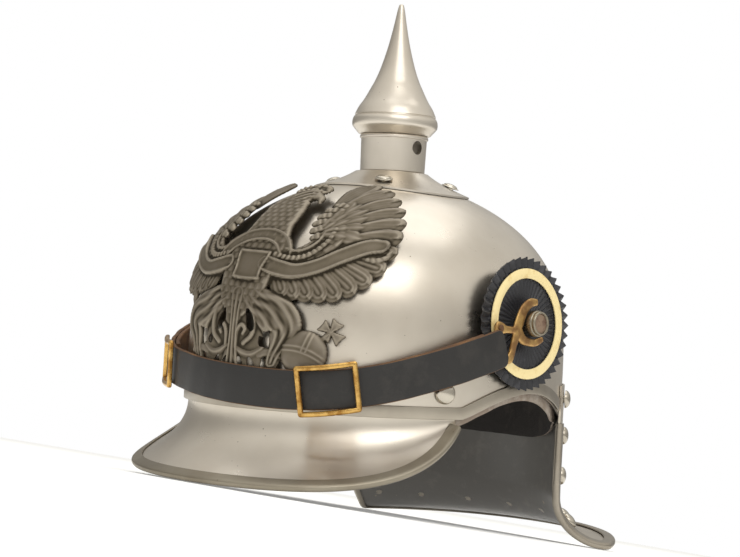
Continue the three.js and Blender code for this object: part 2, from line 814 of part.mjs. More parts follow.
const plateStuds = [1, 3, 5, 7].map((eighth, i) => {
  const bearing = (eighth * Math.PI) / 4 + studTurn;
  const [x, y] = [studCircle * Math.cos(bearing), studCircle * Math.sin(bearing)];
  const small = 0.1;
  const slopeX = (crownLevel(x + small, y) - crownLevel(x - small, y)) / (2 * small);
  const slopeY = (crownLevel(x, y + small) - crownLevel(x, y - small)) / (2 * small);
  return {
    name: "base_stud_" + (i + 1),
    seat: new THREE.Vector3(x, y, plateLevel(x, y)),
    along: new THREE.Vector3(-slopeX, -slopeY, 1).normalize(),
  };
});
const studBores = plateStuds.map(({ seat, along }) => {
  return boreThrough(seat, along, shankRadius + gap, boreReach + plateSheet);
});
skull.geometry = cutFrom(skull.geometry, studBores);
piece("spike_base", cutFrom(basePlate(), studBores), steel);
for (const { name, seat, along } of plateStuds) {
  const depth = plateSheet + steelWall + 2 * gap + 1;
  piece(name, rivet(seat, along, studRadius, studHeight, depth, 0.6), nickel);
}

// Neck: an open tube with a collar inside its top, where the spike screws in, and two vents
const neckProfile = [
  [neckRadius - neckWall, 0],
  [neckRadius, 0],
  [neckRadius + neckFlare, neckHeight],
  [screwRadius + gap, neckHeight],
  [screwRadius + gap, neckHeight - neckCollar],
  [neckRadius - neckWall, neckHeight - neckCollar],
  [neckRadius - neckWall, 0],
];
const up = new THREE.Vector3(0, 0, 1);
const neckFoot = new THREE.Vector3(0, 0, neckBase + gap);
const neckVent = boreThrough(
  new THREE.Vector3(0, 0, neckFoot.z + ventHeight),
  new THREE.Vector3(1, 0, 0),
  ventRadius,
  neckRadius * 1.5,
);
piece("spike_neck", cutFrom(turned(neckProfile, 24, neckFoot, up), [neckVent]), steel);

const spikeProfile = [
  [0, -screwLength],
  [screwRadius, -screwLength],
  [screwRadius, 0],
  ...spikeShares.map(([radius, height]) => [radius * flangeRadius, height * spikeHeight]),
];
piece("spike", turned(spikeProfile, 24, neckFoot.clone().setZ(neckFoot.z + neckHeight + gap), up), steel);

// Rosette: a pleated disc round its post, with a flat painted ring on the pleats
function pleatedDisc() {
  const pleatRows = [
    [rosetteBore, 0.35],
    [rosetteRingOuter, 0.6],
    [rosetteRadius, 1],
  ];
  return loft(
    steps(2 * rosettePleats, 0, 2 * Math.PI).slice(0, -1).map((bearing, i) => {
      const side = i % 2 ? 1 : -1;
      const reach = i % 2 ? 1 : 0.965;
      const at = (radius, height) =>
        new THREE.Vector3(radius * Math.cos(bearing), radius * Math.sin(bearing), height);
      const fold = (share) => (side * pleatDepth * share) / 2;
      const face = (level) =>
        pleatRows.map(([radius, share]) =>
          at(radius === rosetteRadius ? radius * reach : radius, level + fold(share)),
        );
      return [...face(rosetteSheet / 2), ...face(-rosetteSheet / 2).reverse()];
    }),
    true,
  );
}

function flatRing(inner, outer, bottom, thickness, sides) {
  const top = bottom + thickness;
  const profile = [[inner, bottom], [outer, bottom], [outer, top], [inner, top], [inner, bottom]];
  return turned(profile, sides, new THREE.Vector3(), up);
}

const postProfile = (() => {
  const back = -rosetteStandOff - steelWall - peenSeat;
  const front = rosetteSheet / 2 + pleatDepth * 0.175 + gap;
  return [
    [0, back - peenThickness],
    [peenRadius, back - peenThickness],
    [peenRadius, back],
    [postStem, back],
    [postStem, front],
    [postRadius, front],
    [postRadius, front + postLength * 0.8],
    [postRadius * 0.9, front + postLength * 0.84],
    [postRadius * 0.9, front + postLength],
    [postRadius * 0.74, front + postLength],
    [postRadius * 0.74, front + postLength - 1],
    [0, front + postLength - 1],
  ];
})();

for (const { name, sign, seat, along } of posts) {
  const place = new THREE.Group();
  place.position.copy(seat).addScaledVector(along, rosetteStandOff);
  place.quaternion.setFromUnitVectors(up, along);
  helmet.add(place);
  piece("rosette_" + name, pleatedDisc(), blackPaint, place);
  const ringSeat = rosetteSheet / 2 + pleatDepth * 0.3 + gap;
  const ring = flatRing(rosetteRingInner, rosetteRingOuter, ringSeat, rosetteRingThickness, 48);
  piece("rosette_ring_" + name, ring, creamPaint, place);
  const spacerLength = rosetteStandOff - rosetteSheet / 2 - pleatDepth * 0.175 - gap - spacerSeat;
  const spacer = flatRing(postStem + gap, spacerRadius, spacerSeat - rosetteStandOff, spacerLength, 20);
  piece("rosette_spacer_" + name, spacer, brass, place);
  piece("rosette_post_" + name, turned(postProfile, 20, new THREE.Vector3(), up), nickel, place);
}

// Chin strap: the route of its middle as angle from the front, level and distance from the skull
const strapCurve = new THREE.CatmullRomCurve3(
  strapRoute.map(({ angle, level, lift }) => skullPoint(THREE.MathUtils.degToRad(angle), level, lift)),
  false,
  "centripetal",
);
strapCurve.arcLengthDivisions = 400;

// Frame of the strap at a share of its length: outwards from the head, across and along
function strapFrame(share) {
  const at = strapCurve.getPointAt(share);
  const along = strapCurve.getTangentAt(share);
  const length = at.y < skullShift ? skullFrontLength : skullBackLength;
  const outward = new THREE.Vector3(at.x / skullHalfWidth ** 2, (at.y - skullShift) / length ** 2, 0);
  outward.addScaledVector(along, -outward.dot(along)).normalize();
  return { at, along, outward, across: new THREE.Vector3().crossVectors(outward, along).normalize() };
}

function strapStrip(from, to, lift, count) {
  return loft(
    steps(count, from, to).map((share) => {
      const { at, outward, across } = strapFrame(share);
      const corner = (side, level) =>
        at.clone().addScaledVector(across, (side * strapWidth) / 2).addScaledVector(outward, level);
      const [low, high] = [lift - strapThickness / 2, lift + strapThickness / 2];
      return [corner(-1, high), corner(1, high), corner(1, low), corner(-1, low)];
    }),
  );
}
piece("chin_strap", strapStrip(0, 1, 0, 52), leather);

function strapShareAt(angle) {
  let [low, high] = [0, 1];
  for (let i = 0; i < 40; i++) {
    const middle = (low + high) / 2;
    const at = strapCurve.getPointAt(middle);
    if (Math.atan2(at.x / skullHalfWidth, (skullShift - at.y) / skullFrontLength) < angle) low = middle;
    else high = middle;
  }
  return (low + high) / 2;
}
const leftShare = strapShareAt(leftBuckleAngle);
const rightShare = strapShareAt(rightBuckleAngle);
const foldLift = -strapThickness - gap;
piece("strap_fold_left", strapStrip(leftShare, 1 - foldEndShare, foldLift, 20), leather);
piece("strap_fold_right", strapStrip(foldEndShare, rightShare, foldLift, 20), leather);

// Buckle: a rectangular frame, bent to the strap that it lies on
function buckle(share) {
  const shape = roundedRectangle(buckleLength, buckleWidth, buckleCorner);
  shape.holes.push(
    roundedRectangle(buckleLength - 2 * buckleBar, buckleWidth - 2 * buckleBar, buckleCorner * 0.5),
  );
  const geometry = new THREE.ExtrudeGeometry(shape, {
    depth: buckleBar * 0.8,
    bevelEnabled: false,
    curveSegments: 3,
  });
  const position = geometry.attributes.position;
  const seat = strapThickness / 2 + gap + buckleSag;
  for (let i = 0; i < position.count; i++) {
    const { at, outward, across } = strapFrame(share + position.getX(i) / strapCurve.getLength());
    at.addScaledVector(across, position.getY(i)).addScaledVector(outward, seat + position.getZ(i));
    position.setXYZ(i, at.x, at.y, at.z);
  }
  return geometryOf(manifoldOf(geometry));
}

function roundedRectangle(length, width, corner) {
  const [x, y] = [length / 2, width / 2];
  const shape = new THREE.Shape();
  shape.moveTo(-x + corner, -y);
  shape.lineTo(x - corner, -y);
  shape.quadraticCurveTo(x, -y, x, -y + corner);
  shape.lineTo(x, y - corner);
  shape.quadraticCurveTo(x, y, x - corner, y);
  shape.lineTo(-x + corner, y);
  shape.quadraticCurveTo(-x, y, -x, y - corner);
  shape.lineTo(-x, -y + corner);
  shape.quadraticCurveTo(-x, -y, -x + corner, -y);
  return shape;
}
piece("buckle_left", buckle(leftShare), brass);
piece("buckle_right", buckle(rightShare), brass);

// A raised rib along a path of flat places: half width and height at each, on a base level
function rib(path, place, base = 0) {
  return loft(
    path.map(([x, y, half, height], i) => {
      const before = path[Math.max(i - 1, 0)];
      const after = path[Math.min(i + 1, path.length - 1)];
      const length = Math.hypot(after[0] - before[0], after[1] - before[1]);
      const [nx, ny] = [-(after[1] - before[1]) / length, (after[0] - before[0]) / length];
      const at = (side, level) => place(x + nx * side * half, y + ny * side * half, level);
      return [at(-1, base), at(-0.62, height), at(0.62, height), at(1, base)];
    }),
  );
}

// Forks: a brass leg across the end of the strap, and two claws round the post
for (const { name, sign } of posts) {
  const strapEnd = strapFrame(sign > 0 ? 1 : 0);
  const under = sign * strapEnd.at.x - (strapThickness / 2) * Math.abs(strapEnd.outward.x);
  const tilt = (strapWidth / 2) * Math.abs(strapEnd.across.x);
  const forkPlane = under - tilt - gap - forkThickness;
  const place = (y, z, level) => new THREE.Vector3(sign * (forkPlane + level), y, z);
  const strokes = Object.values(forkStrokes).map((path) =>
    rib(path.map(([y, z, half]) => [rosetteForward + y, rosetteLevel + z, half, forkThickness]), place),
  );
  piece("fork_" + name, joined(strokes), brass);
}

// Eagle plate. Its places are shares of half its span, sideways, and of its height, upwards.
function eaglePlate() {
  const place = (mirror) => (x, y, level) =>
    onSkull(eagleShift + (mirror * x * wingSpan) / 2, eagleFoot + y * eagleTall, eagleLift + level);
  const ribs = [];
  const strokes = (table, mirror) => {
    for (const path of table) {
      ribs.push(rib(path.map(([x, y, half, height]) => [x, y, half, height * eagleSheet]), place(mirror)));
    }
  };
  for (const mirror of [1, -1]) strokes(eagleSides, mirror);
  strokes(eagleMiddle, 1);
  const studProfile = [
    [0, -steelWall],
    [shankRadius, -steelWall],
    [shankRadius, eagleLift + eagleSheet],
    [0, eagleLift + eagleSheet],
  ];
  return joined([...ribs, ...eagleStuds.map(({ seat, along }) => turned(studProfile, 8, seat, along))]);
}
piece("eagle_plate", eaglePlate(), tarnish);

// Sweatband: a leather band round the inside, cut into tongues above
function sweatband() {
  return loft(
    steps(48, 0, 2 * Math.PI).slice(0, -1).map((angle) => {
      const low = edgeHeight(angle) - linerHang;
      const turn = (angle * tongueCount) / (2 * Math.PI);
      const across = Math.abs(2 * (turn - Math.floor(turn)) - 1);
      const high = linerHeight + tongueLength * (1 - across ** 2);
      const rows = [low, low + (linerHeight - low) / 2, linerHeight];
      rows.push(...[0.35, 0.7, 1].map((share) => linerHeight + (high - linerHeight) * share));
      const inset = (level) => {
        const above = Math.max(0, level - linerHeight) / tongueLength;
        const lean = linerLean * THREE.MathUtils.smoothstep(level, 0, linerLeanLevel);
        return linerInset + lean + tongueLean * above ** 2;
      };
      const outer = rows.map((level) => skullPoint(angle, level, -inset(level)));
      const inner = rows.map((level) => skullPoint(angle, level, -inset(level) - linerSheet));
      return [...outer, ...inner.reverse()];
    }),
    true,
  );
}
piece("sweatband", sweatband(), suede);

// Rest: pitched forward until the visor's rim and the neck guard's flare are level, and set down
// with the middle of its box over the origin.
function lowestBelow(pitch, mesh) {
  const turn = new THREE.Quaternion().setFromAxisAngle(new THREE.Vector3(1, 0, 0), pitch);
  const position = mesh.geometry.attributes.position;
  let low = Infinity;
  for (let i = 0; i < position.count; i++) {
    low = Math.min(low, new THREE.Vector3().fromBufferAttribute(position, i).applyQuaternion(turn).z);
  }
  return low;
}

function restPitch() {
  let [low, high] = [0, THREE.MathUtils.degToRad(20)];
  for (let i = 0; i < 40; i++) {
    const middle = (low + high) / 2;
    if (lowestBelow(middle, visorTrim) > lowestBelow(middle, guardTrim)) low = middle;
    else high = middle;
  }
  return (low + high) / 2;
}
helmet.rotation.x = restPitch();
helmet.updateMatrixWorld(true);
const box = new THREE.Box3().setFromObject(helmet, true);
helmet.position.set(-(box.min.x + box.max.x) / 2, -(box.min.y + box.max.y) / 2, -box.min.z);

const restingHelmet = new THREE.Group();
restingHelmet.add(helmet);
export default restingHelmet;
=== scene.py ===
# %% [markdown]
# # Cuirassier helmet
#
# The helmet's solids come from a CAD frame. This lesson dresses them: smooth pressed steel, rolled
# trims, pleated rosettes, a stamped eagle, leather and brass. Every new piece lies in the frame of
# the CAD, in metres, resting on the floor on its visor and its neck guard.

# %% Frame and libraries
import math

import bmesh
import bpy
import numpy as np
from mathutils import Matrix, Vector


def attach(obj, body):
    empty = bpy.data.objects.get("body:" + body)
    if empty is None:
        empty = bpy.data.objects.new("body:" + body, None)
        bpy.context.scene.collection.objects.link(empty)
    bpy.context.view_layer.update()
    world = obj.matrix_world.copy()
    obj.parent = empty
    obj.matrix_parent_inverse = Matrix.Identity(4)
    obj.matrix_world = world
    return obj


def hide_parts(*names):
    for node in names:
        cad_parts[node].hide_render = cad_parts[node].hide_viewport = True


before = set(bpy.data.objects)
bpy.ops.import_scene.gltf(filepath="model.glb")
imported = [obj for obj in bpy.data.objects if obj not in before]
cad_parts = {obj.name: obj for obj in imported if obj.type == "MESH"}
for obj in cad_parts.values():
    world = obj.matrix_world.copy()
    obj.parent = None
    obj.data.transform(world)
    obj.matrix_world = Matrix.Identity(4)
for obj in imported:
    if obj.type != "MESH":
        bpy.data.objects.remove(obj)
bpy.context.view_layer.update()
MM = 0.001
print("nodes of the frame:", len(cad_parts))

# %% [markdown]
# ## The helmet's own frame
#
# A helmet is easiest to describe as it is worn: front towards -Y, the wearer's left towards +X and
# the spike straight up. It stands here pitched forward, so each finished point is turned by that
# pitch and moved to its resting place.

# %% Worn frame and resting place
PITCH = math.radians(9.007)
REST_Y, REST_Z = -16.889, 70.406


def resting(points):
    x, y, z = np.asarray(points, float).reshape(-1, 3).T
    turned_y = y * math.cos(PITCH) - z * math.sin(PITCH) + REST_Y
    turned_z = y * math.sin(PITCH) + z * math.cos(PITCH) + REST_Z
    return np.column_stack([x, turned_y, turned_z]) * MM


# %% [markdown]
# ## The skull as a formula
#
# The skull is pressed from one sheet over a former. Its plan is an oval and its side view a full
# dome, so one formula gives any point of it from the angle round the head, the height and the
# distance from the sheet. Every other piece that lies on the skull uses it too.

# %% Skull formula
HALF_WIDTH, FRONT, BACK, SHIFT = 96.5, 114.0, 113.0, -2.0
CROWN, FULLNESS, TAPER = 117.5, 3.5, 1.55
WALL, GAP = 1.2, 0.3


def skull_point(angle, height, lift=0.0):
    angle, height, lift = np.broadcast_arrays(
        np.asarray(angle, float), np.asarray(height, float), np.asarray(lift, float)
    )
    length = np.where(np.cos(angle) > 0, FRONT, BACK)
    level = np.clip(height, 0, CROWN * 0.9999) / CROWN
    share = (1 - level**FULLNESS) ** (1 / TAPER)
    x = HALF_WIDTH * share * np.sin(angle)
    y = -length * share * np.cos(angle)
    around = TAPER * share ** (TAPER - 2)
    normal = np.stack(
        [around * x / HALF_WIDTH**2, around * y / length**2, FULLNESS * level ** (FULLNESS - 1) / CROWN],
        -1,
    )
    normal /= np.linalg.norm(normal, axis=-1, keepdims=True)
    return np.stack([x, y + SHIFT, height], -1) + normal * lift[..., None]


def smoothstep(value, low, high):
    t = np.clip((value - low) / (high - low), 0, 1)
    return t * t * (3 - 2 * t)


BROW_DROP, EAR_CENTRE, EAR_HALF, EAR_RISE, NAPE_DROP = 10.8, 14.5, 50.0, 13.6, 14.0


def edge_height(angle):
    y = skull_point(angle, 0)[..., 1]
    arch = EAR_RISE * np.clip(1 - ((y - EAR_CENTRE) / EAR_HALF) ** 2, 0, None) ** 1.25
    return arch - BROW_DROP - NAPE_DROP * smoothstep(y, EAR_CENTRE + EAR_HALF, BACK + SHIFT)


# %% [markdown]
# ## Bending a grid into a sheet
#
# A sheet piece starts as Blender's own grid. Each vertex is moved by a formula of its two shares,
# doubles are merged where the grid closes on itself, and a Solidify modifier gives the wall.

# %% Sheet helpers
def only(obj):
    bpy.ops.object.select_all(action="DESELECT")
    obj.select_set(True)
    bpy.context.view_layer.objects.active = obj


def place_vertices(obj, points):
    obj.data.vertices.foreach_set("co", np.asarray(points, np.float32).ravel())
    obj.data.update()


def bent_grid(name, formula, columns, rows, merge=0.00002):
    bpy.ops.object.select_all(action="DESELECT")
    bpy.ops.mesh.primitive_grid_add(x_subdivisions=columns, y_subdivisions=rows, size=1)
    obj = bpy.context.object
    obj.name = obj.data.name = name
    flat = np.zeros(len(obj.data.vertices) * 3)
    obj.data.vertices.foreach_get("co", flat)
    u, v = flat.reshape(-1, 3)[:, 0] + 0.5, flat.reshape(-1, 3)[:, 1] + 0.5
    place_vertices(obj, resting(formula(u, v)))
    bpy.ops.object.mode_set(mode="EDIT")
    bpy.ops.mesh.select_all(action="SELECT")
    bpy.ops.mesh.remove_doubles(threshold=merge)
    bpy.ops.object.mode_set(mode="OBJECT")
    return obj


def apply_modifiers(obj):
    only(obj)
    for modifier in list(obj.modifiers):
        bpy.ops.object.modifier_apply(modifier=modifier.name)


def recalculate(obj):
    only(obj)
    bpy.ops.object.mode_set(mode="EDIT")
    bpy.ops.mesh.select_all(action="SELECT")
    bpy.ops.mesh.normals_make_consistent(inside=False)
    bpy.ops.object.mode_set(mode="OBJECT")


def close_ends(obj):
    only(obj)
    bpy.ops.object.mode_set(mode="EDIT")
    bpy.ops.mesh.select_mode(type="VERT")
    bpy.ops.mesh.select_all(action="DESELECT")
    bpy.ops.mesh.select_non_manifold()
    bpy.ops.mesh.edge_face_add()
    bpy.ops.mesh.select_all(action="SELECT")
    bpy.ops.mesh.normals_make_consistent(inside=False)
    bpy.ops.object.mode_set(mode="OBJECT")


def outward_sheet(obj, outward):
    # turns the sheet's faces to the side that the outward direction names, before it gets its wall
    face = obj.data.polygons[len(obj.data.polygons) // 2]
    if face.normal.dot(Vector(outward(face.center))) < 0:
        obj.data.flip_normals()


def thicken(obj, thickness, outside, inside, bevel=0.0):
    obj.data.materials.append(outside)
    obj.data.materials.append(inside)
    wall = obj.modifiers.new("wall", "SOLIDIFY")
    wall.thickness = thickness * MM
    wall.offset = -1
    wall.use_even_offset = True
    wall.material_offset = 1
    if bevel:
        edge = obj.modifiers.new("edge", "BEVEL")
        edge.width = bevel * MM
        edge.segments = 2
        edge.limit_method = "ANGLE"
        edge.angle_limit = math.radians(50)
    apply_modifiers(obj)


def smooth(obj, angle=35):
    only(obj)
    bpy.ops.object.shade_smooth_by_angle(angle=math.radians(angle))


def finished(obj, material, node, angle=35, extra=()):
    smooth(obj, angle)
    if not obj.data.materials:
        for item in (material, *extra):
            obj.data.materials.append(item)
    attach(obj, "root")
    if node:
        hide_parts(*([node] if isinstance(node, str) else node))
    print(obj.name, len(obj.data.polygons), "faces")
    return obj


# %% [markdown]
# ## Finishes
#
# Each finish starts from what the real surface is. Colours are written as they look on a screen and
# turned to linear light by one function. Patterns use object coordinates in metres, so a scale of
# 1000 gives one cell per millimetre.

# %% Material helpers
def linear(hex_colour, alpha=1.0):
    parts = [int(hex_colour[i : i + 2], 16) / 255 for i in (1, 3, 5)]
    return tuple(c / 12.92 if c <= 0.04045 else ((c + 0.055) / 1.055) ** 2.4 for c in parts) + (alpha,)


def new_material(name):
    material = bpy.data.materials.new(name)
    material.use_nodes = True
    return material, material.node_tree


def add_node(tree, kind, settings=(), **links):
    node = tree.nodes.new(kind)
    for key, value in dict(settings).items():
        if key == "stops":
            # colours along a ramp, as a hex colour or a plain grey share
            for _ in value[2:]:
                node.color_ramp.elements.new(0.5)
            for element, (place, colour) in zip(node.color_ramp.elements, value):
                element.position = place
                element.color = linear(colour) if isinstance(colour, str) else (colour, colour, colour, 1)
        elif key in node.inputs:
            node.inputs[key].default_value = value
        else:
            setattr(node, key, value)
    for key, source in links.items():
        numbered = key[0] == "i" and key[1:].isdigit()
        tree.links.new(source, node.inputs[int(key[1:]) if numbered else key.replace("_", " ")])
    return node


# %% Steel
def steel_material(name, light, dark, roughness, pit_size, scratch=0.35):
    # pressed and hand-polished steel: warm grey and satin, with fine scratches, duller patches and
    # a few pinprick pits
    material, tree = new_material(name)
    shader = tree.nodes["Principled BSDF"]
    shader.inputs["Metallic"].default_value = 1.0
    place = add_node(tree, "ShaderNodeTexCoord").outputs["Object"]
    cloud = add_node(tree, "ShaderNodeTexNoise", {"Scale": 16, "Detail": 4, "Roughness": 0.6}, Vector=place)
    tone = add_node(tree, "ShaderNodeValToRGB", {"stops": [(0.36, dark), (0.64, light)]}, Fac=cloud.outputs["Fac"])
    # one cell in 2.6 mm, and a pit only where the cell's own colour is high and the patch is worn
    cells = add_node(tree, "ShaderNodeTexVoronoi", {"Scale": 380}, Vector=place)
    lucky = add_node(tree, "ShaderNodeSeparateColor", Color=cells.outputs["Color"]).outputs[0]
    worn = add_node(tree, "ShaderNodeTexNoise", {"Scale": 30, "Detail": 2}, Vector=place)
    rarity = add_node(tree, "ShaderNodeMath", {"operation": "MULTIPLY"}, i0=lucky, i1=worn.outputs["Fac"])
    reach = add_node(tree, "ShaderNodeMapRange", {"From Min": 0.36, "From Max": 0.62, "To Max": pit_size}, Value=rarity.outputs[0])
    inside = add_node(tree, "ShaderNodeMath", {"operation": "SUBTRACT"}, i0=reach.outputs[0], i1=cells.outputs["Distance"])
    pits = add_node(tree, "ShaderNodeMapRange", {"From Max": 0.05}, Value=inside.outputs[0])
    stained = add_node(
        tree, "ShaderNodeMix", {"data_type": "RGBA"}, i0=pits.outputs[0], i6=tone.outputs["Color"]
    )
    stained.inputs[7].default_value = linear("#7d7466")
    tree.links.new(stained.outputs[2], shader.inputs["Base Color"])
    stretch = add_node(tree, "ShaderNodeMapping", {"Scale": (90, 90, 2200)}, Vector=place)
    lines = add_node(tree, "ShaderNodeTexNoise", {"Scale": 1, "Detail": 3, "Roughness": 0.7}, Vector=stretch.outputs[0])
    haze = add_node(tree, "ShaderNodeTexNoise", {"Scale": 45, "Detail": 5, "Roughness": 0.6}, Vector=place)
    blend = add_node(
        tree, "ShaderNodeMath", {"operation": "MULTIPLY_ADD"}, i0=lines.outputs["Fac"], i2=haze.outputs["Fac"]
    )
    blend.inputs[1].default_value = scratch
    rough = add_node(tree, "ShaderNodeMapRange", {"From Min": 0.4, "From Max": 0.9}, Value=blend.outputs[0])
    rough.inputs["To Min"].default_value = roughness - 0.05
    rough.inputs["To Max"].default_value = roughness + 0.09
    tree.links.new(rough.outputs[0], shader.inputs["Roughness"])
    relief = add_node(
        tree, "ShaderNodeMath", {"operation": "MULTIPLY_ADD"}, i0=pits.outputs[0], i2=lines.outputs["Fac"]
    )
    relief.inputs[1].default_value = -1.5
    bump = add_node(tree, "ShaderNodeBump", {"Strength": 0.07, "Distance": 0.0002}, Height=relief.outputs[0])
    tree.links.new(bump.outputs[0], shader.inputs["Normal"])
    return material


steel = steel_material("polished pressed steel", "#d6cec1", "#cbc2b4", 0.29, 0.16)
nickel = steel_material("worn nickel silver strip", "#b4ac9e", "#9b9386", 0.3, 0.2, 0.6)


# %% Dark paint inside
def paint_material(name, colour, worn, roughness, wear=0.3, chips=None):
    # brushed oil paint on sheet: an even coat with small chips and a soft sheen
    material, tree = new_material(name)
    shader = tree.nodes["Principled BSDF"]
    shader.inputs["Metallic"].default_value = 0.0
    place = add_node(tree, "ShaderNodeTexCoord").outputs["Object"]
    cloud = add_node(tree, "ShaderNodeTexNoise", {"Scale": 140, "Detail": 6, "Roughness": 0.65}, Vector=place)
    stops = [(wear, worn), (wear + 0.16, colour)]
    if chips:
        # an older pale coat shows where the dark one has flaked off
        stops += [(0.7, colour), (0.71, chips)]
    tone = add_node(tree, "ShaderNodeValToRGB", {"stops": stops}, Fac=cloud.outputs["Fac"])
    tree.links.new(tone.outputs["Color"], shader.inputs["Base Color"])
    rough = add_node(tree, "ShaderNodeMapRange", i0=cloud.outputs["Fac"])
    rough.inputs["To Min"].default_value = roughness - 0.1
    rough.inputs["To Max"].default_value = roughness + 0.15
    tree.links.new(rough.outputs[0], shader.inputs["Roughness"])
    bump = add_node(tree, "ShaderNodeBump", {"Strength": 0.25, "Distance": 0.0002}, Height=cloud.outputs["Fac"])
    tree.links.new(bump.outputs[0], shader.inputs["Normal"])
    return material


inside_paint = paint_material("dark paint inside", "#84817c", "#908b84", 0.36, 0.3, "#e6d2ae")
black_paint = paint_material("black painted pleats", "#242428", "#3b3b40", 0.42, 0.28)
cream_paint = paint_material("cream painted ring", "#f2dea4", "#e0c483", 0.4, 0.3)


# %% Brass
def brass_material(name, light, dark, roughness):
    # cast and filed brass: bright on the worn edges, brown where polish never reaches
    material, tree = new_material(name)
    shader = tree.nodes["Principled BSDF"]
    shader.inputs["Metallic"].default_value = 1.0
    place = add_node(tree, "ShaderNodeTexCoord").outputs["Object"]
    cloud = add_node(tree, "ShaderNodeTexNoise", {"Scale": 120, "Detail": 4, "Roughness": 0.6}, Vector=place)
    tone = add_node(tree, "ShaderNodeValToRGB", {"stops": [(0.4, dark), (0.58, light)]}, Fac=cloud.outputs["Fac"])
    tree.links.new(tone.outputs["Color"], shader.inputs["Base Color"])
    rough = add_node(tree, "ShaderNodeMapRange", i0=cloud.outputs["Fac"])
    rough.inputs["To Min"].default_value = roughness + 0.12
    rough.inputs["To Max"].default_value = roughness - 0.06
    tree.links.new(rough.outputs[0], shader.inputs["Roughness"])
    bump = add_node(tree, "ShaderNodeBump", {"Strength": 0.12, "Distance": 0.0002}, Height=cloud.outputs["Fac"])
    tree.links.new(bump.outputs[0], shader.inputs["Normal"])
    return material


brass = brass_material("polished brass", "#d3ab64", "#9c7136", 0.24)
old_brass = brass_material("worn cast brass", "#c9a468", "#94704a", 0.36)



# %% Leather and suede
def leather_material(name, colour, scuff, roughness, grain_mm, depth):
    # smooth-finished leather: a fine pebble grain, a waxed sheen and paler scuffs
    material, tree = new_material(name)
    shader = tree.nodes["Principled BSDF"]
    place = add_node(tree, "ShaderNodeTexCoord").outputs["Object"]
    grain = add_node(tree, "ShaderNodeTexVoronoi", {"Scale": 1000 / grain_mm}, Vector=place)
    cloud = add_node(tree, "ShaderNodeTexNoise", {"Scale": 70, "Detail": 6, "Roughness": 0.65}, Vector=place)
    tone = add_node(tree, "ShaderNodeValToRGB", {"stops": [(0.36, scuff), (0.5, colour)]}, Fac=cloud.outputs["Fac"])
    tree.links.new(tone.outputs["Color"], shader.inputs["Base Color"])
    rough = add_node(tree, "ShaderNodeMapRange", i0=cloud.outputs["Fac"])
    rough.inputs["To Min"].default_value = roughness + 0.12
    rough.inputs["To Max"].default_value = roughness - 0.08
    tree.links.new(rough.outputs[0], shader.inputs["Roughness"])
    bump = add_node(tree, "ShaderNodeBump", {"Strength": depth, "Distance": 0.0002}, Height=grain.outputs["Distance"])
    tree.links.new(bump.outputs[0], shader.inputs["Normal"])
    return material


black_leather = leather_material("waxed black leather", "#1d1b19", "#292623", 0.5, 0.5, 0.25)
raw_edge = leather_material("raw leather edge", "#5f4126", "#7a5632", 0.75, 0.4, 0.5)
suede = leather_material("napped grey-brown leather", "#938578", "#aaa094", 0.9, 0.7, 0.6)
dark_hide = leather_material("blackened flesh side of the hide", "#3b3734", "#4d4843", 0.8, 0.7, 0.5)

# %% [markdown]
# ## Skull
#
# One sheet pressed to a dome and painted dark inside. The grid's rows run from the lower edge, cut
# up over each ear, to the hole under the spike.

# %% Skull
CROWN_ROW = 0.9


def skull_formula(u, v):
    angle = (u - 0.5) * 2 * math.pi
    height = CROWN * np.sin(v * CROWN_ROW * math.pi / 2) + edge_height(angle) * (1 - v) ** 3
    return skull_point(angle, height)


skull = bent_grid("steel_skull", skull_formula, 220, 60)
outward_sheet(skull, lambda c: (c.x, c.y + 0.02, c.z - 0.05))
thicken(skull, WALL, steel, inside_paint)
finished(skull, steel, "skull")

# %% [markdown]
# ## Lofts and turned pieces
#
# A strip, rib or tube is a row of equal rings. A grid is wound round them: one way runs along the
# rings, the other round each ring, and the doubles where the ring closes are merged. A turned piece
# is the same, with a circle for each ring, so that its two poles close by themselves.

# %% Loft and turning helpers
def loft(name, rings, ring=False):
    rings = np.asarray(rings, float)
    if ring:
        rings = np.concatenate([rings, rings[:1]])
    count, around = rings.shape[:2]

    def formula(u, v):
        return rings[np.rint(u * (count - 1)).astype(int), np.rint(v * around).astype(int) % around]

    obj = bent_grid(name, formula, count - 1, around)
    if ring:
        recalculate(obj)
    else:
        close_ends(obj)
    return obj


def axes_across(along):
    along = np.asarray(along, float) / np.linalg.norm(along)
    side = np.cross(along, [0, 0, 1] if abs(along[2]) < 0.9 else [1, 0, 0])
    side /= np.linalg.norm(side)
    return along, side, np.cross(along, side)


def turned(name, profile, foot, along, sides=48):
    along, side, other = axes_across(along)
    radius, height = np.array(profile, float).T

    def formula(u, v):
        turn, i = u * 2 * math.pi, np.rint(v * (len(radius) - 1)).astype(int)
        across = np.cos(turn)[:, None] * side + np.sin(turn)[:, None] * other
        return np.asarray(foot) + radius[i][:, None] * across + height[i][:, None] * along

    obj = bent_grid(name, formula, sides, len(radius) - 1)
    recalculate(obj)
    return obj


def rounded_bar(width, thickness, radius, steps=3):
    # outline of a flat bar: places across it and above its seat, corners rounded
    points = []
    for cx, cy, start in (
        (width / 2 - radius, thickness - radius, 0),
        (-width / 2 + radius, thickness - radius, 90),
        (-width / 2 + radius, radius, 180),
        (width / 2 - radius, radius, 270),
    ):
        for step in range(steps + 1):
            turn = math.radians(start + 90 * step / steps)
            points.append((cx + radius * math.cos(turn), cy + radius * math.sin(turn)))
    return points


# %% [markdown]
# ## Band along the lower edge
#
# A strip of nickel silver riveted along the skull's lower edge stiffens it. Its rings follow the
# edge from one end of the neck guard, round the brow, to the other.

# %% Edge band
BAND_WIDTH, TRIM = 6.3, 0.8
GUARD_EDGE, GUARD_CORNER = math.radians(123), math.radians(131)

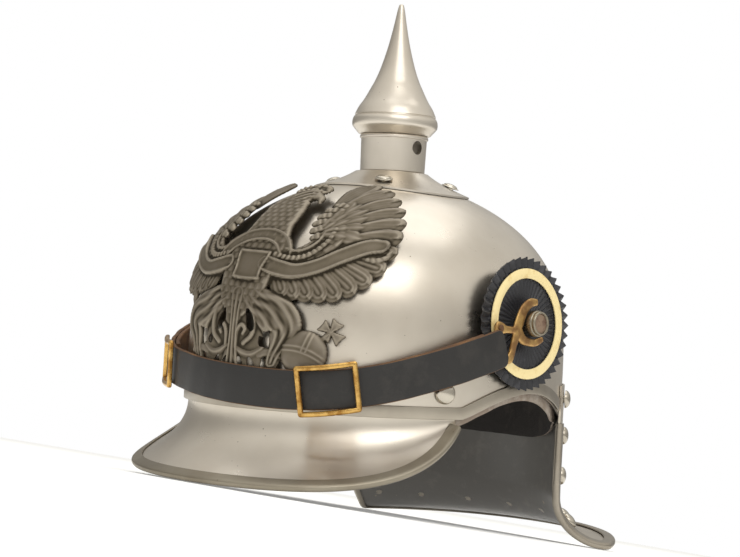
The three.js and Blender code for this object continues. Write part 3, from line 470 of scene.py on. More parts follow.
band_angles = np.linspace(-(GUARD_EDGE - 0.035), GUARD_EDGE - 0.035, 260)
rise = np.gradient(edge_height(band_angles), band_angles)
run = np.linalg.norm(np.gradient(skull_point(band_angles, 0), band_angles, axis=0), axis=1)
stretch = np.hypot(1, rise / run)
band_rings = np.stack(
    [
        skull_point(band_angles, edge_height(band_angles) + (a + BAND_WIDTH / 2) * stretch, GAP + level)
        for a, level in rounded_bar(BAND_WIDTH, TRIM, 0.3)
    ],
    1,
)
finished(loft("edge_strip", band_rings), nickel, "edge_band")

# %% [markdown]
# ## Visor
#
# The blade grows out of the skull in a hollow curve, widest in front. It runs a little way up inside
# the skull, where two rivets hold it. Its wall is painted dark below.

# %% Visor
VISOR_REACH, VISOR_DROP, VISOR_SPREAD = 27.0, 35.0, math.radians(73)
VISOR_END, VISOR_FULL, VISOR_SWEEP = math.radians(71.5), 4.6, 2.2


def visor_surface(u, v):
    angle = -u * VISOR_END
    share = 1 - np.abs(angle / VISOR_SPREAD) ** VISOR_FULL
    start = -WALL - GAP
    lift = start + (VISOR_REACH * share - start) * np.clip(v, 0, None) ** VISOR_SWEEP
    point = skull_point(angle, 0, lift)
    point[..., 2] = -(BROW_DROP + GAP + VISOR_DROP * np.where(v > 0, share, 0.5) * v)
    return point


visor = bent_grid("visor_blade", lambda u, v: visor_surface(2 * u - 1, 1.3 * v - 0.3), 180, 52)
outward_sheet(visor, lambda c: (c.x, c.y, 0.3))
thicken(visor, WALL, steel, inside_paint)
finished(visor, steel, "visor")


# %% [markdown]
# ## Trims folded over the edges
#
# The rims of visor and neck guard are bound with a strip folded over the edge. Its section lies flat
# on the outside, turns round the edge and comes back a little way inside. To follow the curved
# sheet, each point of the section is found by walking over the surface.

# %% Folded trim
def surface_frame(surface, u, v, small=1e-3):
    along = (surface(u + small, v) - surface(u - small, v)) / (2 * small)
    down = (surface(u, v + small) - surface(u, v - small)) / (2 * small)
    normal = np.cross(along, down)
    return surface(u, v), along, down, normal / np.linalg.norm(normal, axis=-1, keepdims=True)


def walk(surface, u, v, direction, distance, stages=3):
    for _ in range(stages):
        _, along, down, _ = surface_frame(surface, u, v)
        step = direction * distance / stages
        aa, ad, dd = (along * along).sum(-1), (along * down).sum(-1), (down * down).sum(-1)
        sa, sd = (step * along).sum(-1), (step * down).sum(-1)
        u = u + (sa * dd - sd * ad) / (aa * dd - ad * ad)
        v = v + (sd * aa - sa * ad) / (aa * dd - ad * ad)
    return u, v


def folded_trim(name, surface, u, v, width, fit=GAP, back=2.2):
    at, _, _, normal = surface_frame(surface, u, v)
    tangent = np.gradient(at, axis=0)
    inwards = np.cross(normal, tangent)
    inwards /= np.linalg.norm(inwards, axis=1, keepdims=True)

    def on_sheet(distance, lift):
        a, b = walk(surface, u, v, inwards, distance)
        place, _, _, out = surface_frame(surface, a, b)
        return place + out * lift

    def past(distance, lift):
        return at - inwards * distance + normal * lift

    top, under, reach = fit + TRIM, -WALL - fit, WALL / 2 + fit + TRIM
    rings = [on_sheet(width, fit), on_sheet(width, top - 0.25), on_sheet(width - 0.25, top)]
    rings += [on_sheet(width * 0.6, top + 0.06), on_sheet(width * 0.25, top + 0.04)]
    for turn in np.radians([90, 65, 40, 15, -15, -40, -65, -90]):
        rings.append(past(reach * 0.75 * math.cos(turn), -WALL / 2 + reach * math.sin(turn)))
    rings += [on_sheet(back, under - TRIM), on_sheet(back, under), past(fit, under), past(fit, fit)]
    rings.append(on_sheet(width / 2, fit))
    return loft(name, np.stack(rings, 1))


rim_u = np.linspace(1, -1, 240)
rim_strip = steel_material("handled strip on the visor rim", "#a39b8b", "#887f6f", 0.34, 0.2, 0.6)
visor_rim = folded_trim("visor_rim", visor_surface, rim_u, np.ones_like(rim_u), 5.6)
finished(visor_rim, rim_strip, "visor_trim")

# %% [markdown]
# ## Neck guard
#
# The guard is a second sheet, riveted over the back of the skull. It hangs as a wall down to the
# nape and then flares out to keep blows off the neck.

# %% Neck guard
GUARD_TOP, WALL_DROP, FLARE_DROP, SIDE_FLARE, BACK_FLARE = 6.0, 57.0, 26.0, 28.0, 44.0
WALL_SHARE, CORNER_ROUND = 0.6, 8.0


def guard_surface(u, v):
    k = np.clip((v - WALL_SHARE) / (1 - WALL_SHARE), 0, None)
    flare = BACK_FLARE + (SIDE_FLARE - BACK_FLARE) * u * u
    wall = GUARD_TOP - (GUARD_TOP + WALL_DROP) * v / WALL_SHARE
    height = np.where(k > 0, -WALL_DROP - FLARE_DROP * (1 - np.clip(1 - k, 0, None) ** 1.6), wall)
    edge = GUARD_EDGE + (GUARD_CORNER - GUARD_EDGE) * smoothstep(v, 0.5, 1)
    point = skull_point(math.pi - u * (math.pi - edge), 0, GAP + WALL + flare * k**1.8)
    point[..., 2] = height
    return point


def guard_end(u):
    into = np.clip((np.abs(u) - 0.94) / 0.06, 0, 1)
    rounding = CORNER_ROUND / (GUARD_TOP + WALL_DROP + FLARE_DROP) * 1.2
    return 1 - rounding * (1 - np.sqrt(1 - into**2))


def guard_formula(u, v):
    side = np.sin((u - 0.5) * math.pi)
    return guard_surface(side, v * guard_end(side))


guard = bent_grid("guard_sheet", guard_formula, 150, 64)
outward_sheet(guard, lambda c: (c.x, c.y, 0))
thicken(guard, WALL, steel, inside_paint)
finished(guard, steel, "neck_guard")

side_v = np.linspace(0.2, float(guard_end(1.0)), 50)
end_u = np.sin(np.linspace(0.5, -0.5, 160) * math.pi)
path_u = np.concatenate([np.ones(49), end_u, -np.ones(49)])
path_v = np.concatenate([side_v[:-1], guard_end(end_u), side_v[::-1][1:]])
trim = folded_trim("guard_rim", guard_surface, path_u, path_v, 5.4, fit=0.6)
finished(trim, nickel, "neck_guard_trim")

# %% [markdown]
# ## Rivets
#
# Each rivet is a turned dome on a shank. One outline serves them all, set on the sheet along its
# outward direction, and each copy has its own mesh.

# %% Rivets
def dome(radius, height, depth, shank=2.0):
    points = [(0, -depth), (shank, -depth), (shank, GAP), (radius * 0.5, GAP), (radius, GAP + 0.3)]
    for turn in np.radians(np.linspace(0, 90, 12)):
        points.append((radius * math.cos(turn), GAP + 0.7 + (height - 0.7) * math.sin(turn)))
    return points


def rivet(node, seat, along, radius, height, depth):
    finished(turned("head_" + node, dome(radius, height, depth), seat, along, 36), rivet_metal, node, 40)


def skull_normal(angle, height):
    return skull_point(angle, height, 1.0) - skull_point(angle, height)


rivet_metal = steel_material("polished rivet", "#cbc4b6", "#b5ad9f", 0.2, 0.12, 0.2)
for name, sign in (("left", 1), ("right", -1)):
    angle = sign * math.radians(67.5)
    rivet("visor_rivet_" + name, skull_point(angle, 2.6), skull_normal(angle, 2.6), 5.6, 3.4, 2 * WALL + GAP)
    for i, v in enumerate((0.075, 0.27, 0.485)):
        seat, _, _, along = surface_frame(guard_surface, np.array([sign * 0.88]), np.array([v]))
        rivet(f"edge_rivet_{name}_{i + 1}", seat[0], along[0], 5.0, 3.4, 2 * WALL if i == 0 else WALL)
for i, u in enumerate((-0.86, -0.6, -0.3, 0, 0.3, 0.6, 0.86)):
    seat, _, _, along = surface_frame(guard_surface, np.array([u]), np.array([0.76]))
    rivet(f"flare_rivet_{i + 1}", seat[0], along[0], 5.0, 3.4, WALL)

# %% [markdown]
# ## Spike, neck and base
#
# The base plate is raised from a disc until it meets the neck in a hollow curve. The neck is a tube
# with two vents that let air out of the helmet, and the spike screws into its top.

# %% Base plate and studs
PLATE_RADIUS, PLATE_SHEET, PLATE_RISE, NECK_RADIUS, NECK_BASE = 44.0, 1.0, 5.2, 18.2, 120.0


def crown_level(x, y):
    length = np.where(y < SHIFT, FRONT, BACK)
    return CROWN * (1 - np.hypot(x / HALF_WIDTH, (y - SHIFT) / length) ** TAPER) ** (1 / FULLNESS)


def plate_level(x, y):
    inwards = np.clip((PLATE_RADIUS - np.hypot(x, y)) / (PLATE_RADIUS - NECK_RADIUS), 0, None)
    return np.minimum(crown_level(x, y) + GAP + PLATE_SHEET + PLATE_RISE * inwards**3, NECK_BASE)


bearings = np.linspace(0, 2 * math.pi, 120, endpoint=False)
plate_rings = []
for radius in np.linspace(14, PLATE_RADIUS, 40):
    x, y = radius * np.cos(bearings), radius * np.sin(bearings)
    plate_rings.append(np.stack([x, y, plate_level(x, y)], -1))
for radius in (PLATE_RADIUS, 34, 24, 14):
    x, y = radius * np.cos(bearings), radius * np.sin(bearings)
    plate_rings.append(np.stack([x, y, crown_level(x, y) + GAP], -1))
plate = loft("base_disc", np.stack(plate_rings, 1), ring=True)
finished(plate, steel, "spike_base", 50)

for i in range(4):
    bearing = math.radians(45 + 90 * i - 9)
    x, y = 33 * math.cos(bearing), 33 * math.sin(bearing)
    slope = [(crown_level(x + a, y + b) - crown_level(x - a, y - b)) / 0.2 for a, b in ((0.1, 0), (0, 0.1))]
    seat, along = (x, y, float(plate_level(x, y))), (-slope[0], -slope[1], 1)
    outline = [(0, -3.6), (2, -3.6), (2, GAP), (2.5, GAP), (5, 0.7), (5, 1.0), (4.7, 1.25), (4.3, 1.2), (4.1, 1.25)]
    outline += [(4.1 * math.cos(t), 1.25 + 1.6 * math.sin(t)) for t in np.radians(np.linspace(15, 90, 9))]
    stud = turned(f"stud_{i + 1}", outline, seat, along, 36)
    finished(stud, rivet_metal, f"base_stud_{i + 1}", 40)

# %% Neck and spike
NECK_HEIGHT = 20.5
neck_outline = [(16.6, 0), (18.0, 0), (18.2, 0.2), (18.2, 1), (18.55, 17.6), (18.6, 18.4), (19.2, 18.6), (19.35, 19.2)]
neck_outline += [(19.2, 19.9), (18.7, NECK_HEIGHT), (7.3, NECK_HEIGHT), (7.3, 18.5), (16.6, 18.5), (16.6, 0)]
bright_steel = steel_material("bright turned steel", "#d3cbbf", "#c8c0b3", 0.34, 0.12, 0.5)
neck = turned("vent_neck", neck_outline, (0, 0, NECK_BASE + GAP), (0, 0, 1), 96)
vent = turned("vent_cutter", [(0, -30), (3.8, -30), (3.8, 30), (0, 30)], (0, 0, NECK_BASE + GAP + 13.6), (1, 0, 0), 40)
cut = neck.modifiers.new("vents", "BOOLEAN")
cut.operation, cut.object, cut.solver = "DIFFERENCE", vent, "EXACT"
apply_modifiers(neck)
bpy.data.objects.remove(vent)
finished(neck, bright_steel, "spike_neck", 30)


def eased(points, steps=6):
    # a smooth line through the points
    p = np.array(points, float)
    p = np.vstack([2 * p[0] - p[1], p, 2 * p[-1] - p[-2]])
    out = []
    for i in range(1, len(p) - 2):
        for t in np.arange(steps) / steps:
            out.append(
                0.5
                * (
                    2 * p[i]
                    + (p[i + 1] - p[i - 1]) * t
                    + (2 * p[i - 1] - 5 * p[i] + 4 * p[i + 1] - p[i + 2]) * t**2
                    + (3 * p[i] - p[i - 1] - 3 * p[i + 1] + p[i + 2]) * t**3
                )
            )
    return out + [p[-2]]


flange = [(0, -9), (7, -9), (7, 0), (19.6, 0)]
flange += eased([(20.4, 0.4), (22.3, 2.6), (23.8, 4.4), (24.15, 6.3), (23.9, 8.4), (23.2, 9.9)], 4)
flange += [(22.7, 10.2), (22.6, 10.6), (22.9, 10.9)]
cone = eased(
    [(22.6, 11.8), (20.9, 15.4), (18.4, 19.2), (16.4, 22.8), (14.5, 26.6), (12.7, 30.2), (10.2, 36.5), (8.0, 43.6),
     (6.1, 50.7), (4.6, 57.4), (3.3, 64), (2.1, 70.6), (1.3, 73.6), (0.7, 74.2)], 5,
)
spike_outline = flange + list(cone) + [(0, 74.4)]
spike = turned("turned_spike", spike_outline, (0, 0, NECK_BASE + 2 * GAP + NECK_HEIGHT), (0, 0, 1), 96)
finished(spike, steel, "spike", 30)

# %% [markdown]
# ## Rosettes
#
# Each rosette is a pressed disc on a post: sharp pleats round its rim, a flat painted ring laid on
# them and finer pleats inside it. The two kinds of pleat are one grid, wound round the post.

# %% Rosette places
POST_FORWARD, POST_LEVEL, STAND_OFF, PLEAT_DEPTH = 4.6, 39.8, 3.4, 2.2
ROSETTE_RADIUS, RING_OUTER, RING_INNER, ROSETTE_SHEET = 35.4, 29.2, 24.0, 1.0
post_angle = math.acos((SHIFT - POST_FORWARD) / BACK)
sides = []
for name, sign in (("left", 1), ("right", -1)):
    along, side, other = axes_across((sign, 0, 0.06))
    seat = skull_point(sign * post_angle, POST_LEVEL) + along * STAND_OFF
    sides.append((name, sign, seat, along, side, other))

# %% Pleated discs
rows = [(4.6, 0), (7, 0.15), (9.2, 0.35), (15, 0.6), (RING_INNER - 1.2, 0.8), (RING_INNER - 0.3, 0.5)]
rows += [(RING_INNER, 0), (RING_OUTER, 0), (RING_OUTER + 0.3, 0.45), (RING_OUTER + 0.9, 0.8)]
rows += [(32, 0.95), (34, 1), (ROSETTE_RADIUS, 1)]
row_radius, row_fold = np.array(rows, float).T


def pleats(radius, fold, turn):
    # sharp pleats outside the ring, fine rounded grooves inside it, and their rim's small teeth
    outer = 2 * np.abs((turn * 40 / (2 * math.pi)) % 1 - 0.5) - 0.5
    inner = np.cos(turn * 48) * 0.5
    outside = radius > RING_OUTER
    height = np.where(outside, outer * PLEAT_DEPTH, inner * 1.3) * fold
    rim = smoothstep(radius, 33, ROSETTE_RADIUS) * (0.035 * ROSETTE_RADIUS) * (0.5 - outer)
    return radius - rim, height


for name, sign, seat, along, side, other in sides:

    def disc_formula(u, v):
        i = np.rint(v * (len(rows) - 1)).astype(int)
        turn = u * 2 * math.pi
        radius, height = pleats(row_radius[i], row_fold[i], turn)
        dish = 0.35 * smoothstep(RING_INNER - radius, 0, 10)
        across = np.cos(turn)[:, None] * side + np.sin(turn)[:, None] * other
        return seat + across * radius[:, None] + (height - dish + ROSETTE_SHEET / 2)[:, None] * along

    disc = bent_grid("pleats_" + name, disc_formula, 528, len(rows) - 1)
    outward_sheet(disc, lambda c: (sign, 0, 0))
    thicken(disc, ROSETTE_SHEET, black_paint, black_paint)
    finished(disc, black_paint, "rosette_" + name, 50)

# %% Painted rings, spacers and posts
ring_low = ROSETTE_SHEET / 2 + PLEAT_DEPTH * 0.3 + GAP
ring_outline = [(RING_INNER, ring_low), (RING_OUTER, ring_low), (RING_OUTER, ring_low + 0.55)]
ring_outline += [(RING_OUTER - 0.35, ring_low + 0.8), (RING_INNER + 0.35, ring_low + 0.8)]
ring_outline += [(RING_INNER, ring_low + 0.55), (RING_INNER, ring_low)]
spacer_low, spacer_top = 0.8 - STAND_OFF, -ROSETTE_SHEET / 2 - PLEAT_DEPTH * 0.175 - GAP
spacer_outline = [(4.5, spacer_low), (6, spacer_low), (6, spacer_top), (4.5, spacer_top), (4.5, spacer_low)]
post_back = -STAND_OFF - WALL - 1.1
post_front = ROSETTE_SHEET / 2 + PLEAT_DEPTH * 0.175 + GAP
post_outline = [(0, post_back - 1), (5.2, post_back - 1), (5.6, post_back - 0.6), (5.6, post_back), (4.2, post_back)]
post_outline += [(4.2, post_front), (6.6, post_front), (6.9, post_front + 0.3), (6.9, post_front + 7.9)]
post_outline += [(6.7, post_front + 8.3), (6.35, post_front + 8.5), (6.3, post_front + 9.7), (6.05, post_front + 10.2)]
post_outline += [(5.7, post_front + 10.4), (5.3, post_front + 10.3), (5.05, post_front + 9.9), (4.9, post_front + 9.4)]
post_outline += [(4.2, post_front + 9.2), (0, post_front + 9.3)]
post_steel = steel_material("aged turned steel", "#98907f", "#7c7466", 0.26, 0.2, 0.5)
rust_face = paint_material("rusted post face", "#5a4032", "#86705c", 0.7, 0.45)
for name, sign, seat, along, side, other in sides:
    ring = turned("ring_" + name, ring_outline, seat, along, 128)
    finished(ring, cream_paint, "rosette_ring_" + name, 40)
    spacer = turned("spacer_" + name, spacer_outline, seat, along, 40)
    finished(spacer, old_brass, "rosette_spacer_" + name, 40)
    post = turned("post_" + name, post_outline, seat, along, 56)
    finished(post, post_steel, "rosette_post_" + name, 40, extra=(rust_face,))
    for face in post.data.polygons:
        local = (np.array(face.center) / MM) - resting(seat)[0] / MM
        axis = resting(seat + along)[0] / MM - resting(seat)[0] / MM
        level = local @ axis
        if level > post_front + 8.9 and np.linalg.norm(local - axis * level) < 4.85:
            face.material_index = 1

# %% [markdown]
# ## Chin strap
#
# Two thicknesses of waxed leather, doubled back through the buckles, lie over the visor from post to
# post. A smooth curve through a few places gives the strap's middle, and a frame of three directions
# at each share of its length carries the leather, the folds and the buckles.

# %% Strap curve
STRAP_WIDTH, STRAP_THICK = 20.0, 2.4
strap_route = np.array(
    [(-81, 30, 12.4), (-75, 27, 13.4), (-66, 21.5, 10.6), (-48, 13.5, 9), (-33, 8.5, 8.4), (-18, 5.8, 7.4),
     (-2, 3, 7.2), (12.6, 1.4, 7.2), (24, 1, 7.6), (36, 2.3, 8.4), (49, 6.7, 9), (66, 16.7, 10.6),
     (75, 23.3, 13.4), (81, 27.3, 12.4)], float,
)
knots = skull_point(np.radians(strap_route[:, 0]), strap_route[:, 1], strap_route[:, 2])
padded = np.vstack([2 * knots[0] - knots[1], knots, 2 * knots[-1] - knots[-2]])
dense = []
for p0, p1, p2, p3 in zip(padded, padded[1:], padded[2:], padded[3:]):
    d0, d1, d2 = (np.linalg.norm(b - a) ** 0.5 for a, b in ((p0, p1), (p1, p2), (p2, p3)))
    t1 = ((p1 - p0) / d0 - (p2 - p0) / (d0 + d1) + (p2 - p1) / d1) * d1
    t2 = ((p2 - p1) / d1 - (p3 - p1) / (d1 + d2) + (p3 - p2) / d2) * d1
    t = np.arange(60)[:, None] / 60
    dense.append(p1 + t1 * t + (3 * (p2 - p1) - 2 * t1 - t2) * t**2 + (2 * (p1 - p2) + t1 + t2) * t**3)
dense = np.vstack([*dense, knots[-1:]])
reach = np.concatenate([[0], np.cumsum(np.linalg.norm(np.diff(dense, axis=0), axis=1))])
STRAP_LENGTH = reach[-1]
print("strap length, mm:", round(STRAP_LENGTH, 1))


def on_strap(share):
    return np.stack([np.interp(np.clip(share, 0, 1) * STRAP_LENGTH, reach, dense[:, i]) for i in range(3)], -1)


def strap_frame(share):
    share = np.asarray(share, float)
    at = on_strap(share)
    along = on_strap(np.minimum(share + 0.004, 1)) - on_strap(np.maximum(share - 0.004, 0))
    along /= np.linalg.norm(along, axis=-1, keepdims=True)
    length = np.where(at[..., 1] < SHIFT, FRONT, BACK)
    outward = np.stack([at[..., 0] / HALF_WIDTH**2, (at[..., 1] - SHIFT) / length**2, 0 * length], -1)
    outward -= along * (outward * along).sum(-1, keepdims=True)
    outward /= np.linalg.norm(outward, axis=-1, keepdims=True)
    return at, along, outward, np.cross(outward, along)


# %% Strap and folds
def strap_piece(name, node, start, end, lift, count, outer):
    shares = np.linspace(start, end, count)
    at, along, outward, across = strap_frame(shares)
    wave = 0.16 * np.sin(shares * 71 + 1) + 0.12 * np.sin(shares * 133)
    inset = np.full(count, 0.0)
    if outer:
        # the end's corners are cut round
        left = np.minimum(shares - start, end - shares) * STRAP_LENGTH
        inset = 4 * (1 - np.sqrt(1 - np.clip(1 - left / 4, 0, 1) ** 2))
    section = rounded_bar(STRAP_WIDTH, STRAP_THICK, 0.75)
    rings = []
    for a, level in section:
        side = a * (1 - inset / (STRAP_WIDTH / 2))
        rings.append(
            at + across * side[:, None] + outward * (lift - STRAP_THICK / 2 + level + (wave if outer else 0))[:, None]
            if outer
            else at + across * a + outward * (lift - STRAP_THICK / 2 + level)
        )
    obj = loft(name, np.stack(rings, 1))
    finished(obj, black_leather, node, 50, extra=(raw_edge,))
    turned_out = resting(at + outward) - resting(at)
    where = resting(at)
    for face in obj.data.polygons:
        near = int(np.argmin(((where - np.array(face.center)) ** 2).sum(1)))
        direction = turned_out[near] / np.linalg.norm(turned_out[near])
        if np.dot(direction, np.array(face.normal)) < 0.75:
            face.material_index = 1
    return obj


def share_at(angle):
    around = np.arctan2(dense[:, 0] / HALF_WIDTH, (SHIFT - dense[:, 1]) / FRONT)
    return float(np.interp(angle, around, reach / STRAP_LENGTH))


LEFT_SHARE, RIGHT_SHARE, FOLD_END = share_at(math.radians(36)), share_at(math.radians(-33)), 0.035
strap_piece("strap", "chin_strap", 0, 1, 0, 320, True)
fold_lift = -STRAP_THICK - GAP
strap_piece("fold_left", "strap_fold_left", LEFT_SHARE, 1 - FOLD_END, fold_lift, 120, False)
strap_piece("fold_right", "strap_fold_right", FOLD_END, RIGHT_SHARE, fold_lift, 120, False)

# %% [markdown]
# ## Buckles
#
# Each buckle is a plain cast frame, filed to a bevel on all its edges. The section of its bar is
# swept round a rounded rectangle and bent to the strap below.

# %% Buckles
BUCKLE_LONG, BUCKLE_WIDE, BUCKLE_BAR, BUCKLE_CORNER = 31.4, 25.6, 2.7, 1.5
BUCKLE_THICK, BUCKLE_SEAT = BUCKLE_BAR * 0.8, STRAP_THICK / 2 + GAP + 0.8
corner_middles = [(1, 1, 0), (-1, 1, 90), (-1, -1, 180), (1, -1, 270)]
bar_section = [(0.5, 0.45), (0.5, 1.7), (0.32, 2.3), (0.16, 2.48), (-0.2, 2.48), (-0.36, 2.3), (-0.5, 1.7)]
bar_section += [(-0.5, 0.45), (-0.36, 0.05), (0.36, 0.05)]


BUCKLE_TILT = math.radians(3)


def buckle_rings(share):
    # the frame is rigid across the strap, so that its two bars stay side by side, and sits a little askew
    across = strap_frame(share)[3]
    lean = np.array([[math.cos(BUCKLE_TILT), -math.sin(BUCKLE_TILT)], [math.sin(BUCKLE_TILT), math.cos(BUCKLE_TILT)]])
    rings = []
    for cx, cy, start in corner_middles:
        for turn in np.radians(start + np.array([0, 22.5, 45, 67.5, 90])):
            direction = np.array([math.cos(turn), math.sin(turn)])
            for_corner = np.array([cx * (BUCKLE_LONG / 2 - BUCKLE_CORNER), cy * (BUCKLE_WIDE / 2 - BUCKLE_CORNER)])
            rings.append([(for_corner, direction)])
    # places along the straights too, so that the bars bend with the strap
    outline = []
    for i, (corner, direction) in enumerate(item[0] for item in rings):
        outline.append((corner, direction))
        after, turned_to = rings[(i + 1) % len(rings)][0]
        if not np.allclose(corner, after):
            for t in np.linspace(0, 1, 10)[1:-1]:
                outline.append((corner + (after - corner) * t, direction))
    result = []
    for corner, direction in outline:
        ring = []
        for a, level in bar_section:
            radius = BUCKLE_CORNER - BUCKLE_BAR / 2 + a * BUCKLE_BAR
            place = lean @ (corner + direction * radius)
            at, _, outward, _ = strap_frame(share + place[0] / STRAP_LENGTH)
            ring.append(at + across * place[1] + outward * (BUCKLE_SEAT + level))
        result.append(ring)
    return result


for name, share in (("left", LEFT_SHARE), ("right", RIGHT_SHARE)):
    frame_piece = loft("frame_" + name, buckle_rings(share), ring=True)
    finished(frame_piece, brass, "buckle_" + name, 25)

# %% [markdown]
# ## Forks
#
# At each end of the strap a cast brass fork is riveted. It is laid out as a few strokes of changing
# width. They are joined by a voxel remesh and softened, which gives the rounded joins of a casting.

# %% Forks
FORK_THICK = 2.2
fork_strokes = [
    [(-31, -2.4, 1.6), (-29.3, -2.4, 3.4), (-26, -2.6, 3.2), (-22, -3, 1.9), (-13, -3.4, 1.9)],
    [(-13.5, -2.5, 2.4), (-14.4, -7, 2.6), (-15.8, -11, 2.2), (-16.6, -14.6, 2.1), (-18.4, -18, 2.6), (-21.6, -19.6, 1.5)],
    [(-14, -4, 3.2), (-11.6, 2, 3.3), (-8.8, 7.5, 3), (-3.8, 11.2, 2.5), (1.5, 11.9, 1.7)],
    [(-13, -3.5, 3.4), (-8.6, -7.8, 2.6), (-3.4, -9.2, 2.1), (0.5, -9.5, 2), (4, -8.8, 1.9), (7.5, -7.4, 1.4)],
]


def joined(objects):
    bpy.ops.object.select_all(action="DESELECT")
    for obj in objects:
        obj.select_set(True)
    bpy.context.view_layer.objects.active = objects[0]
    bpy.ops.object.join()
    return bpy.context.object


def remeshed(obj, voxel, rounds):
    obj.data.remesh_voxel_size = voxel * MM
    only(obj)
    bpy.ops.object.voxel_remesh()
    soften = obj.modifiers.new("soften", "SMOOTH")
    soften.iterations = rounds
    apply_modifiers(obj)


for name, sign, seat, along, side, other in sides:
    at, _, outward, across = strap_frame(1.0 if sign > 0 else 0.0)
    plane = sign * at[0] - STRAP_THICK / 2 * abs(outward[0]) - STRAP_WIDTH / 2 * abs(across[0]) - GAP - FORK_THICK
    strokes = []
    for stroke in fork_strokes:
        path = np.array(eased(stroke, 8))
        normal = np.gradient(path[:, :2], axis=0)
        normal = np.stack([-normal[:, 1], normal[:, 0]], 1)
        normal /= np.linalg.norm(normal, axis=1, keepdims=True)
        rings = []
        for a, level in rounded_bar(2, FORK_THICK, 0.7):
            flat = path[:, :2] + normal * (a * path[:, 2])[:, None]
            rings.append(
                np.stack([np.full(len(path), sign * (plane + level)), POST_FORWARD + flat[:, 0], POST_LEVEL + flat[:, 1]], 1)
            )
        strokes.append(loft("stroke", np.stack(rings, 1)))
    fork = joined(strokes)
    fork.name = "cast_fork_" + name
    remeshed(fork, 0.35, 4)
    eye = (sign * (plane + FORK_THICK - 0.4), POST_FORWARD - 27.6, POST_LEVEL - 2.5)
    nail = turned("eye_rivet", [(0, 0), (2, 0), (1.9, 0.8), (1.5, 1.2), (0.8, 1.45), (0, 1.5)], eye, (sign, 0, 0), 28)
    nail.data.materials.append(raw_edge)
    fork.data.materials.append(old_brass)
    fork = joined([fork, nail])
    smooth(fork, 60)
    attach(fork, "root")
    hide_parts("fork_" + name)
    print(fork.name, len(fork.data.polygons), "faces")

# %% [markdown]
# ## Sweatband
#
# A band of napped leather stands inside the skull, cut into tongues that draw together above the
# head. Its lower edge hangs a little below the steel and shows under the ear.

# %% Sweatband
LINER_LEVEL, TONGUE_LONG, LINER_SHEET = 34.0, 55.0, 1.6


def liner_lift(level):
    above = np.clip(level - LINER_LEVEL, 0, None) / TONGUE_LONG
    return -(3.2 + 2.2 * smoothstep(level, 0, 26) + 10 * above**2)


def liner_formula(u, v):
    angle = u * 2 * math.pi
    low = edge_height(angle) - 4
    across = np.abs(2 * ((u * 8) % 1) - 1)
    high = LINER_LEVEL + TONGUE_LONG * (1 - across**2.4)
    level = np.where(v < 0.4, low + (LINER_LEVEL - low) * v / 0.4, LINER_LEVEL + (high - LINER_LEVEL) * (v - 0.4) / 0.6)
    ripple = 0.25 * np.sin(angle * 23) + 0.2 * np.sin(angle * 41 + level * 0.2)
    return skull_point(angle, level, liner_lift(level) + ripple - 0.35)


liner = bent_grid("suede_liner", liner_formula, 320, 40)
outward_sheet(liner, lambda c: (c.x, c.y + 0.02, 0))
thicken(liner, LINER_SHEET - 0.4, suede, dark_hide, bevel=0.3)
finished(liner, suede, "sweatband")

# %% [markdown]
# ## Eagle plate
#
# The heraldic eagle is stamped from thin sheet, pierced, toned dark and held off the skull on two
# studs. Sculpting it by hand would take days, so it is drawn as strokes on the flat. Each stroke has
# a path, a half width and a height, and a kind that says how its surface is chased: feathers, scales,
# ribbon, flutes, beads. A fine grid takes the highest stroke at each place, the grid's outline is
# moved on to the strokes' edge, and the sheet is then bent to the front of the skull.

# %% Strokes of the eagle
EAGLE_SHIFT, EAGLE_LIFT = 7.0, 3.6
RELIEF_SHARE = 0.74


def between(a, b, t):
    return tuple(p + (q - p) * t for p, q in zip(a, b))


wing = []
long_tips = [(27, 130), (40, 121.6), (51, 111), (60, 100.6), (66.6, 90.6), (70, 81)]
long_roots = [(28, 104), (33, 100.6), (38, 95.6), (41.6, 90), (44.6, 84), (47, 78)]
for root, tip in zip(long_roots, long_tips):
    path = [(*root, 4.2, 1.7), (*between(root, tip, 0.45), 6.6, 2.2), (*between(root, tip, 0.66), 7.2, 2.1)]
    wing.append(("long feather", path + [(*between(root, tip, 0.78), 6.6, 2)]))
short_tips = [(73, 72), (71.4, 62), (66.8, 54.4), (60.6, 49.4), (53.6, 46.4), (46.2, 45.8), (39, 46.2), (32, 46.8), (25.4, 48)]
for i, tip in enumerate(short_tips):
    root = between((48, 71), (18, 60), i / 8)
    path = [(*root, 3.6, 1.5), (*between(root, tip, 0.6), 5.1, 2), (*between(root, tip, 0.76), 5.3, 2)]
    wing.append(("short feather", path + [(*between(root, tip, 0.83), 4.6, 1.9)]))
wing += [
    ("plain", [(30, 66, 6, 1.5), (44, 74, 8, 1.6), (54, 80, 7, 1.5)]),
    ("plain", [(3, 44, 7, 1.7), (7, 34, 9, 1.7), (9, 22, 10, 1.6), (9, 10, 9, 1.3)]),
    ("scales", [(14, 63, 7, 2.2), (26, 66, 6, 2.5), (36, 74, 7.4, 2.6), (37.6, 84, 9, 2.6), (35, 94, 8.4, 2.5), (32, 101, 6, 2.2)]),
]
for tip_row, root, half, level in (
    (((31, 108), (37.4, 103.6), (43, 99.4), (46.6, 93.6), (49, 86.4), (51, 79)), (33, 83), 4.6, 2.8),
    (((31.6, 99.6), (36.4, 95.8), (40.4, 91), (43, 85.4), (44.6, 79.4)), (32, 81), 3.8, 3.2),
    (((31.4, 92), (35, 88.6), (37.8, 84.6), (39.4, 80)), (31, 80), 3, 3.5),
):
    for tip in tip_row:
        path = [(*between(root, tip, 0.45), half * 0.8, level), (*between(root, tip, 0.8), half, level)]
        wing.append(("leaf", path + [(*tip, half * 0.5, level - 0.4)]))
